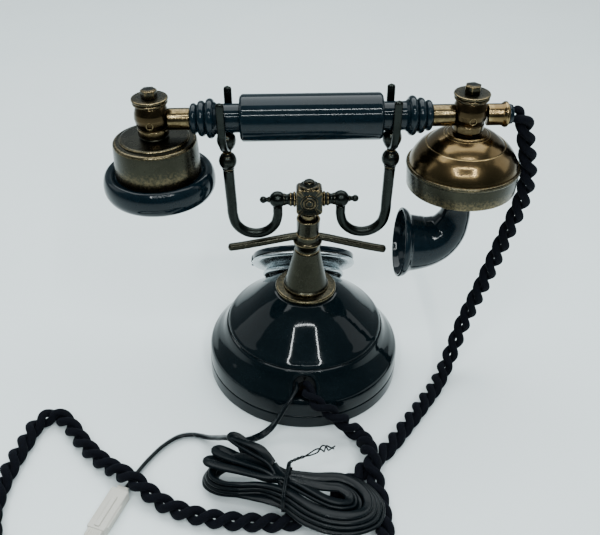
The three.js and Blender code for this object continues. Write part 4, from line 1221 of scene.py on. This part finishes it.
def make_dial():
    """Mounting ring, dish, digit card, finger wheel, cap and finger stop."""
    chrome = finish("chrome")
    ring = turned([(24.6, -1.0), (30.2, -1.0, 0.4), (31.2, 0), (31.1, 1.6), (29.6, 2.8), (24.6, 2.8)],
                  128, 0.6, True)
    piece("dial_mount_ring_turned", on_dial(ring), chrome, ROOT, "bright", "dial_mount_ring")
    dish = turned(
        [(4.2, 3.1), (28.8, 3.1, 0.4), (30.6, 4.4, 0.6), (37.6, 7.2, 0.8), (39.5, 8.4, 0.8), (39.7, 10.0),
         (39.3, 10.9), (38.6, 11.1), (38.0, 10.6), (37.7, 9.8), (30, 6.4), (4.2, 6.4)], 160, 0.5, True,
    )
    piece("dial_dish_spun", on_dial(dish), chrome, ROOT, "bright", "dial_dish")
    plate = turned([(4.2, 6.7), (20, 6.7), (20, 10.6), (37.2, 10.8), (37.2, 11.8), (4.2, 11.8)], 128, 0.2,
                   True)
    piece("dial_card_disc", on_dial(plate), finish("card"), ROOT, "dial_card", "number_plate")
    dial_digits()
    wheel = holed_wheel(38.7, 6.0, 12.1, 16.0, 6.2, 29.0, 10, math.radians(45))
    thing = mesh_object("finger_wheel_holed", on_dial(wheel), finish("handle"))
    weld(thing)
    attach(thing, DIAL)
    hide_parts("finger_wheel")
    cap = turned([(0, 16.2), (13, 16.2, 0.3), (13, 17.1, 0.4), (11.6, 17.6), (10, 17.9), (9.4, 17.6),
                  (5, 18.4), (0, 18.7)], 96, 0.5)
    piece("dial_cap_turned", on_dial(cap), chrome, DIAL, "bright", "dial_cap")
    hook = spline([(40.9, 0, 8.9), (41.3, 0, 13), (40.6, 0, 16.6), (36, 0, 17.35), (30, 0, 17.35),
                   (25.4, 0, 17.3)], 60)
    stop = swept(hook, section(0.62, 2.3, 20, 4.0), (0, 1, 0))
    place = turn_about("Z", math.radians(-15) + math.pi)
    piece("finger_stop_bent", on_dial(moved(stop, place)), chrome, ROOT, "bright", "finger_stop")


# ---------------------------------------------------------------- cradle


def make_cradle():
    """Spindle, cross block, turned bars, bent arms, beads and forks, all on the lifting body."""
    dark = finish("gunmetal")
    spindle = turned([(0, 52), (3.4, 52), (3.4, 99.5), (4.9, 99.5), (4.9, 101), (3.4, 101), (3.4, 121),
                      (5, 121), (5, 131.2), (0, 131.2)], 48, 0.3)
    piece("hook_spindle_turned", spindle, finish("bronze"), CRADLE, "dark_bronze", "hook_spindle")
    w, h, c = 8.6, 9.4, 1.7
    outline = [(-w + c, -h), (w - c, -h), (w, -h + c), (w, h - c), (w - c, h), (-w + c, h), (-w, h - c),
               (-w, -h + c)]
    block = moved(prism(outline, -5.6, 5.6, 0.7), TO_FRONT)
    boss = turned([(0, -7.2), (2.2, -7.2), (2.5, -6.7), (3.1, -6.6), (3.4, -7.0), (4.2, -7.0), (4.7, -6.4),
                   (5.8, -6.2, 0.3), (5.8, 6.2, 0.3), (4.7, 6.4), (4.2, 7.0), (3.4, 7.0), (3.1, 6.6),
                   (2.5, 6.7), (2.2, 7.2), (0, 7.2)], 64, 0.3)
    boss = moved(boss, TO_FRONT)
    neck = turned([(0, -10.4), (5.0, -10.4), (5.3, -9.8), (5.1, -8.4), (5.6, -7.8), (0, -7.8)], 64, 0.3)
    piece("cross_block_cast", on_cradle(joined(block, boss, neck)), dark, CRADLE, "dark_bronze",
          "cross_block")
    cap = turned([(0, 9.5), (6.0, 9.5), (6.2, 10), (6.2, 10.8), (5.6, 11.1), (4.1, 11.2), (3.9, 12.4),
                  (3.3, 13.4), (2.0, 14.1), (0, 14.4)], 64, 0.4)
    piece("cradle_screw_domed", on_cradle(cap), dark, CRADLE, "dark_bronze", "cradle_screw")
    ball = arc(0, BALL_X, 5.6, 5.6, -62, 68, 15)
    bar = [(0, 8.7), (4.4, 8.7, 0.2), (5.5, 9.7, 0.6), (4.2, 10.8, 0.4), (4.3, 11.4), (4.8, 12.2, 0.5),
           (3.9, 13.3),
           (3.5, 14.2), (3.6, 15.0), (4.1, 16.4), *ball[2:], (2.1, 26.4), (1.6, 27.4),
           *arc(0, 30.2, 2.35, 2.4, -50, 50, 9),
           (1.2, 32.3), (0, 32.7)]
    t = np.linspace(0, 1, 110)
    for side, hand in ((-1, "left"), (1, "right")):
        turn = ALONG_X if side > 0 else ALONG_MINUS_X
        shaped = moved(turned(bar, 56, 0.3), turn)
        piece(f"cross_bar_{hand}_turned", on_cradle(shaped), dark, CRADLE, "dark_bronze", f"cross_bar_{hand}")
        points = [(BALL_X, -5.0), (BALL_X, -9.5)]
        for i in range(7):
            a = math.pi + i * math.pi / 6
            points.append((BALL_X + 14.9 * (1 + math.cos(a)), -11.2 + 14.9 * math.sin(a)))
        points += [(50.9, -2), (51.3, 10), (ARM_X, 22.6)]
        path = spline([(side * x, 0, z) for x, z in points], 110)
        arm = swept(path, section(1, 1, 28), (0, 1, 0), 3.2 + 0.4 * t)
        piece(f"cradle_arm_{hand}_bent", on_cradle(arm), dark, CRADLE, "dark_bronze", f"cradle_arm_{hand}")
        bead = turned([(0, 22.9), (3.6, 22.9), (4.0, 23.8, 0.3), (3.8, 24.6), (4.9, 25.8), (5.6, 27.6),
                       (5.75, 29.4),
                       (5.3, 31.6), (4.2, 33.4), (3.0, 34.4), (2.7, 35.2), (0, 35.2)], 56, 0.5)
        piece(f"arm_bead_{hand}_turned", on_cradle(bead, side * ARM_X), dark, CRADLE, "dark_bronze",
              f"arm_bead_{hand}")
        knob = turned([(0, 35.5), (2.6, 35.5), (3.4, 37.0), (4.8, 39.0), (5.8, 41.4), (6.1, 43.6),
                       (5.7, 46.0),
                       (4.4, 47.8), (2.4, 48.7), (0, 48.8)], 56, 0.5)
        fork = [(-13.0, 73.6), (-12.6, 58), (-12.5, 51), (-10.2, 44.2), (-5.2, 39.2), (0, 37.8), (5.2, 39.2),
                (10.2, 44.2), (12.5, 51), (12.6, 58), (13.0, 73.6)]
        line = spline([(0, y, z) for y, z in fork], 90)
        s = np.abs(np.linspace(-1, 1, 90))
        tip = np.sqrt(np.clip(1 - np.clip((s - 0.95) / 0.05, 0, 1) ** 2, 0.003, 1))
        prongs = swept(line, section(1, 1, 20, 3.0), (1, 0, 0), np.stack([1.6 * tip, 2.5 * tip], -1))
        turned_fork = moved(joined(knob, prongs), turn_about("Z", -0.13 if side < 0 else 0.05))
        piece(f"fork_{hand}_cast", on_cradle(turned_fork, side * ARM_X), dark, CRADLE, "dark_bronze",
              f"fork_{hand}")


# ---------------------------------------------------------------- handset


def ring_sleeve():
    """A plain sleeve for the fork, then three round rings that grow smaller outwards."""
    profile = [(3.6, 43.8), (8.9, 43.8), (8.9, 57.4)]
    for middle, half, radius in ((61.6, 2.6, 12.2), (66.8, 2.5, 10.9), (71.6, 2.3, 9.4)):
        profile += arc(radius - 2.5, middle, 2.5, half, -78, 78, 11)
    return turned(profile + [(7.0, 73.8), (3.6, 73.8)], 96, 0.25, loop=True)


def end_pieces(side, end):
    """Tube, barrel hub, washers and nut at one end of the handset."""
    turn = ALONG_X if side > 0 else ALONG_MINUS_X
    brass = finish("tube")
    tube = turned([(3.6, 74.1), (6.7, 74.1), (6.7, 87.0), (3.6, 87.0)], 72, 0.25, loop=True)
    piece(f"{end}_tube_turned", on_handset(moved(tube, turn)), brass, HANDSET, "brass", f"{end}_tube")
    hub = turned([(0, -9.5), (9.3, -9.5), (9.6, -9.1), (9.6, -5.0, 0.3), (8.9, -4.6, 0.2), (9.1, -4.0),
                  (10.3, -1.0),
                  (10.8, 2.0), (10.4, 5.2), (9.5, 8.2), (9.0, 9.5), (8.6, 9.9), (0, 9.9)], 96, 0.4)
    dimple = turned([(0, 9.9), (1.5, 9.9), (1.7, 10.9), (2.2, 11.05), (2.2, 10.4), (0, 9.4)], 32, 0.15)
    screw = moved(dimple, TO_FRONT)
    piece(f"{end}_hub_barrel", on_handset(joined(hub, screw), side * HUB_X), brass, HANDSET, "brass",
          f"{end}_hub")
    lower = turned([(0, 10.2), (9.9, 10.2, 0.3), (10.7, 10.8, 0.5), (10.7, 11.8, 0.5), (10.0, 12.3, 0.2),
                    (0, 12.3)], 96, 0.4)
    piece(f"{end}_washer_lower", on_handset(lower, side * HUB_X), finish("gunmetal"), HANDSET, "bronze")
    washer = turned([(0, 12.4), (10.1, 12.5, 0.2), (11.0, 12.9), (11.2, 13.5), (10.9, 14.4), (0, 14.5)],
                    96, 0.4)
    piece(f"{end}_washer_upper", on_handset(washer, side * HUB_X), finish("bronze"), HANDSET, "bronze",
          f"{end}_washer")
    hexagon = [(5.2 * math.cos(a), 5.2 * math.sin(a)) for a in np.radians(np.arange(6) * 60.0 + 12)]
    nut = prism(hexagon, 14.6, 19.2, 0.45)
    crown = turned([(0, 19.0), (3.9, 19.0), (3.7, 19.5), (0, 19.7)], 40, 0.2)
    stud = joined(nut, crown)
    piece(f"{end}_nut_hex", on_handset(stud, side * HUB_X), finish("gunmetal"), HANDSET, "dark_bronze",
          f"{end}_nut")


def make_grip():
    """The grip and its ring sleeves, and the tubes, hubs and nuts at both ends."""
    handle = finish("handle")
    body = turned([(3.6, -43.5), (13.0, -43.5, 0.5), (13.6, -42.9, 0.3), (14.1, -42.4), (14.4, -41.8),
                   (14.4, 41.8),
                   (14.1, 42.4), (13.6, 42.9, 0.3), (13.0, 43.5, 0.5), (3.6, 43.5)], 128, 0.5, loop=True)
    piece("grip_turned", on_handset(moved(body, ALONG_X)), handle, HANDSET, "handle_gloss", "grip")
    for side, hand, end in ((-1, "left", "receiver"), (1, "right", "transmitter")):
        turn = ALONG_X if side > 0 else ALONG_MINUS_X
        piece(f"ring_sleeve_{hand}_turned", on_handset(moved(ring_sleeve(), turn)), handle, HANDSET,
              "handle_gloss", f"ring_sleeve_{hand}")
        end_pieces(side, end)


def make_receiver():
    """Stepped receiver shell over a thick rounded ear cap."""
    shell = turned(
        [(0, -9.7), (7.4, -9.7), (7.9, -10.6), (8.2, -11.2), (20.6, -11.2, 0.4), (21.7, -11.7),
         (21.8, -12.9, 0.2),
         (24.9, -12.9, 1.0), (26.0, -13.8, 0.8), (26.2, -16), (27.2, -35.6), (24.9, -35.6), (24, -15.6),
         (0, -15.6)],
        128, 0.4,
    )
    piece("receiver_shell_spun", on_handset(shell, -HUB_X), finish("bronze"), HANDSET, "bronze",
          "receiver_shell")
    outer = spline([(28.6, -35.4, 0), (30.2, -34.2, 0), (31.8, -33.8, 0), (33.6, -34.9, 0), (35.0, -37.8, 0),
                    (35.6, -41.6, 0), (35.2, -45.6, 0), (33.2, -49.2, 0), (29.6, -51.0, 0),
                    (25.4, -50.7, 0)], 40)
    profile = [(0, -45.0), (8, -45.2), (14, -46.8), *[tuple(p) for p in outer[::-1, :2]], (27.9, -36.6),
               (23.8, -36.4),
               (23.8, -26), (21.6, -26), (21.6, -38.6), (0, -38.6)]
    cap = mesh_object("ear_cap_turned", on_handset(turned(profile, 144, 0.5), -HUB_X), finish("handle"))
    tools = []
    for i in range(7):
        r = 0.0 if i == 6 else 5.0
        a = i * math.pi / 3
        hole = turned([(0, -60), (1.2, -60), (1.2, -43), (0, -43)], 20, 0.05)
        tools.append(on_handset(moved(hole, shift=(r * math.cos(a), r * math.sin(a), 0)), -HUB_X))
    cutter = mesh_object("ear_hole_cutter", joined(*tools), finish("handle"))
    cut = cap.modifiers.new("Holes", "BOOLEAN")
    cut.operation, cut.object, cut.solver = "DIFFERENCE", cutter, "EXACT"
    bpy.context.view_layer.objects.active = cap
    bpy.ops.object.modifier_apply(modifier=cut.name)
    bpy.data.objects.remove(cutter, do_unlink=True)
    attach(cap, HANDSET)
    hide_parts("ear_cap")


def horn_part():
    """A curved horn: circles on a bent line, out along the outside and back along the inside."""
    centres = [(97.1, -43), (97.1, -56), (97, -66), (95.6, -75), (91.6, -84), (85, -90), (77.4, -92.9),
               (69, -93.8), (63.6, -93.6), (61.2, -93.4)]
    n = 90
    path = spline([(x, 0, z) for x, z in centres], n)
    at = length_along(path) / length_along(path)[-1]
    stops = [0, 0.17, 0.30, 0.41, 0.54, 0.655, 0.755, 0.865, 0.925, 0.940, 0.965, 1.0]
    sizes = [8.7, 8.7, 9.1, 10.6, 13.2, 15.8, 17.6, 19.0, 19.7, 21.3, 23.2, 23.9]
    outer = np.interp(at, stops, sizes)
    kernel = np.hanning(5) / np.hanning(5).sum()
    outer[2:-2] = np.convolve(outer, kernel, "same")[2:-2]
    wall = 1.9
    tangent, side, up = frames(path, (0, 1, 0))
    rim = np.linspace(0, math.pi, 9)[1:-1]
    index = np.concatenate([np.arange(n), np.full(len(rim), n - 1), np.arange(n)[::-1]])
    inner = np.maximum(outer - wall, 5.0)
    radius = np.concatenate([outer, outer[-1] - wall / 2 * (1 - np.cos(rim)), inner[::-1]])
    ahead = np.concatenate([np.zeros(n), wall / 2 * np.sin(rim), np.zeros(n)])
    a = np.arange(72) * TAU / 72
    circle = np.cos(a)[None, :, None] * side[index][:, None] + np.sin(a)[None, :, None] * up[index][:, None]
    rings = (path[index] + ahead[:, None] * tangent[index])[:, None] + radius[:, None, None] * circle
    return outward(skin(rings, loop=True, along=np.arange(len(index)) * 1.0))


def make_transmitter():
    """Spun bell, the band with its rolled edge, cover plate, horn, cord stub and gland."""
    brass = finish("brass")
    upper = [(14.4, -12.4, 0), (18.6, -14.2, 0), (22.0, -16.6, 0), (24.4, -18.9, 0)]
    lower = [(24.8, -18.6, 0), (28.6, -21.8, 0), (31.6, -25.6, 0), (33.4, -29.0, 0), (34.3, -31.8, 0)]
    dome = [tuple(p) for line in (upper, lower) for p in spline(line, 14)[:, :2]]
    inner = [(32.8 * math.sin(a), -32.8 + 20.4 * math.cos(a)) for a in np.radians(np.linspace(84, 30, 12))]
    bell = turned(
        [(0, -9.6), (7.4, -9.6), (8.0, -10.4, 0.4), (8.6, -10.9), (12.4, -11.3, 0.5), (13.0, -12.0, 0.3),
         (14.4, -12.3, 0.4),
         *dome, (34.6, -32.4), (34.4, -35.6), (32.9, -35.6), *inner, (0, -14.4)], 160, 0.4,
    )
    band = turned(
        [(34.7, -32.2, 0.2), (35.5, -32.3, 0.3), (36.2, -33.0, 0.3), (36.2, -34.2, 0.3), (35.7, -34.8, 0.25),
         (35.7, -35.6), (34.9, -48.1, 0.4), (33.5, -48.1, 0.4), (33.7, -38.0), (34.5, -36.6)], 160, 0.3,
         loop=True,
    )
    piece("transmitter_band_turned", on_handset(band, HUB_X), finish("bronze"), HANDSET, "brass")
    piece("transmitter_bell_spun", on_handset(bell, HUB_X), brass, HANDSET, "brass", "transmitter_bell")
    cover = turned([(9.2, -47.6), (32.7, -47.6), (32.7, -45.7), (9.2, -45.7)], 96, 0.3, loop=True)
    piece("transmitter_cover_disc", on_handset(cover, HUB_X), finish("gunmetal"), HANDSET, "dark_bronze",
          "transmitter_cover")
    piece("horn_bent", on_handset(horn_part()), finish("handle"), HANDSET, "handle_gloss", "horn")
    stub = turned([(0, 107.6), (6.7, 107.6), (6.7, 116.6), (7.2, 117.4), (7.9, 118.4, 0.4),
                   (7.9, 119.6, 0.4), (7.2, 120.4),
                   (0, 120.4)], 72, 0.4)
    piece("cord_stub_turned", on_handset(moved(stub, ALONG_X)), brass, HANDSET, "brass", "cord_stub")
    gland = turned([(0, 120.6), (6.3, 120.6), (6.3, 121.4), (5.8, 123.2, 0.5), (4.2, 123.4), (0, 123.4)],
                   56, 0.4)
    piece("cord_gland_turned", on_handset(moved(gland, ALONG_X)), finish("handle"), HANDSET, "handle_gloss",
          "cord_gland")


def dress_frame():
    """Gives the carried-over frame pieces, most of them inside, their own finishes."""
    looks = {
        "insulator": "block", "steel": "steel", "dark_bronze": "gunmetal", "bronze": "bronze",
        "enamel": "enamel", "handle_gloss": "handle", "bright": "chrome", "brass": "brass",
    }
    slots = {row["node"]: row["material_slot"] for row in frame["record"]["subparts"]}
    for name, node in frame["nodes"].items():
        if node.hide_render:
            continue
        material = finish(looks.get(slots.get(name), "steel"))
        node.data.materials.clear()
        node.data.materials.append(material)


# ---------------------------------------------------------------- operators


def make_lights():
    """A wide soft panel overhead, a frame of four thin strips in front, and two side panels."""
    cool = (0.93, 0.99, 1.0)
    area_light("Overhead", (0.0, 0.62, 1.5), (0, 0.12, 0), (2.2, 1.6), 44, cool)
    middle = np.array([0.0, -0.74, 0.98])
    for i, (x, y, wide, deep) in enumerate(
        [(0, 0.21, 0.62, 0.016), (0, -0.21, 0.74, 0.016), (-0.34, 0, 0.016, 0.42), (0.34, 0, 0.016, 0.42)]
    ):
        place = middle + np.array([x, y, 0.5 * y])
        area_light(f"Strip {i + 1}", tuple(place), tuple(place + [0, 0.6, -1]), (wide, deep), 3.2, cool)
    area_light("Left panel", (-1.1, 0.25, 0.75), (0, 0, 0.1), (0.7, 0.7), 1.6, cool)
    area_light("Right panel", (1.1, 0.15, 0.75), (0, 0, 0.12), (0.6, 0.7), 1.6, cool)


class TELEPHONE_OT_stage(bpy.types.Operator):
    """Adds the camera, the pale table, the sky and the lights."""

    bl_idname = "telephone.stage"
    bl_label = "Stage"
    bl_options = {"REGISTER", "UNDO"}

    def execute(self, context):
        make_camera()
        make_floor()
        make_sky()
        make_lights()
        return {"FINISHED"}


class TELEPHONE_OT_handset_cord(bpy.types.Operator):
    """Adds the two-strand handset cord."""

    bl_idname = "telephone.handset_cord"
    bl_label = "Handset Cord"
    bl_options = {"REGISTER", "UNDO"}

    def execute(self, context):
        make_handset_cord()
        return {"FINISHED"}


class TELEPHONE_OT_line_cord(bpy.types.Operator):
    """Adds the flat line cord, its tie and its plug."""

    bl_idname = "telephone.line_cord"
    bl_label = "Line Cord"
    bl_options = {"REGISTER", "UNDO"}

    def execute(self, context):
        make_line_cord()
        return {"FINISHED"}


class TELEPHONE_OT_base(bpy.types.Operator):
    """Adds the round base and its cable arch."""

    bl_idname = "telephone.base"
    bl_label = "Base"
    bl_options = {"REGISTER", "UNDO"}

    def execute(self, context):
        make_base()
        return {"FINISHED"}


class TELEPHONE_OT_column(bpy.types.Operator):
    """Adds the column, its wings and its cup."""

    bl_idname = "telephone.column"
    bl_label = "Column"
    bl_options = {"REGISTER", "UNDO"}

    def execute(self, context):
        make_column()
        return {"FINISHED"}


class TELEPHONE_OT_dial(bpy.types.Operator):
    """Adds the dial."""

    bl_idname = "telephone.dial"
    bl_label = "Dial"
    bl_options = {"REGISTER", "UNDO"}

    def execute(self, context):
        make_dial()
        return {"FINISHED"}


class TELEPHONE_OT_cradle(bpy.types.Operator):
    """Adds the cradle's block, bars, arms and forks."""

    bl_idname = "telephone.cradle"
    bl_label = "Cradle"
    bl_options = {"REGISTER", "UNDO"}

    def execute(self, context):
        make_cradle()
        return {"FINISHED"}


class TELEPHONE_OT_grip(bpy.types.Operator):
    """Adds the grip, sleeves, tubes, hubs and nuts."""

    bl_idname = "telephone.grip"
    bl_label = "Grip"
    bl_options = {"REGISTER", "UNDO"}

    def execute(self, context):
        make_grip()
        return {"FINISHED"}


class TELEPHONE_OT_receiver(bpy.types.Operator):
    """Adds the receiver shell and ear cap."""

    bl_idname = "telephone.receiver"
    bl_label = "Receiver"
    bl_options = {"REGISTER", "UNDO"}

    def execute(self, context):
        make_receiver()
        return {"FINISHED"}


class TELEPHONE_OT_transmitter(bpy.types.Operator):
    """Adds the bell, horn and cord outlet."""

    bl_idname = "telephone.transmitter"
    bl_label = "Transmitter"
    bl_options = {"REGISTER", "UNDO"}

    def execute(self, context):
        make_transmitter()
        return {"FINISHED"}


class TELEPHONE_OT_frame_finish(bpy.types.Operator):
    """Gives the carried-over pieces their finishes."""

    bl_idname = "telephone.frame_finish"
    bl_label = "Frame Finish"
    bl_options = {"REGISTER", "UNDO"}

    def execute(self, context):
        dress_frame()
        return {"FINISHED"}


OPERATORS = [
    TELEPHONE_OT_stage,
    TELEPHONE_OT_handset_cord,
    TELEPHONE_OT_line_cord,
    TELEPHONE_OT_base,
    TELEPHONE_OT_column,
    TELEPHONE_OT_dial,
    TELEPHONE_OT_cradle,
    TELEPHONE_OT_grip,
    TELEPHONE_OT_receiver,
    TELEPHONE_OT_transmitter,
    TELEPHONE_OT_frame_finish,
]


class TELEPHONE_PT_panel(bpy.types.Panel):
    """Lists the telephone's operators, colours and sizes."""

    bl_idname = "TELEPHONE_PT_panel"
    bl_label = "Telephone"
    bl_space_type = "VIEW_3D"
    bl_region_type = "UI"
    bl_category = "Telephone"

    def draw(self, context):
        for kind in OPERATORS:
            self.layout.operator(kind.bl_idname)
        for group in (context.scene.telephone_look, context.scene.telephone_sizes):
            box_ui = self.layout.box()
            for name in group.__annotations__:
                box_ui.prop(group, name)


CLASSES = [TelephoneLook, TelephoneSizes, *OPERATORS, TELEPHONE_PT_panel]


def register():
    for kind in CLASSES:
        bpy.utils.register_class(kind)
    bpy.types.Scene.telephone_look = bpy.props.PointerProperty(type=TelephoneLook)
    bpy.types.Scene.telephone_sizes = bpy.props.PointerProperty(type=TelephoneSizes)


def unregister():
    del bpy.types.Scene.telephone_look
    del bpy.types.Scene.telephone_sizes
    for kind in reversed(CLASSES):
        bpy.utils.unregister_class(kind)


def main():
    register()
    for kind in OPERATORS:
        getattr(bpy.ops.telephone, kind.bl_idname.split(".")[1])()


if __name__ == "__main__":
    main()
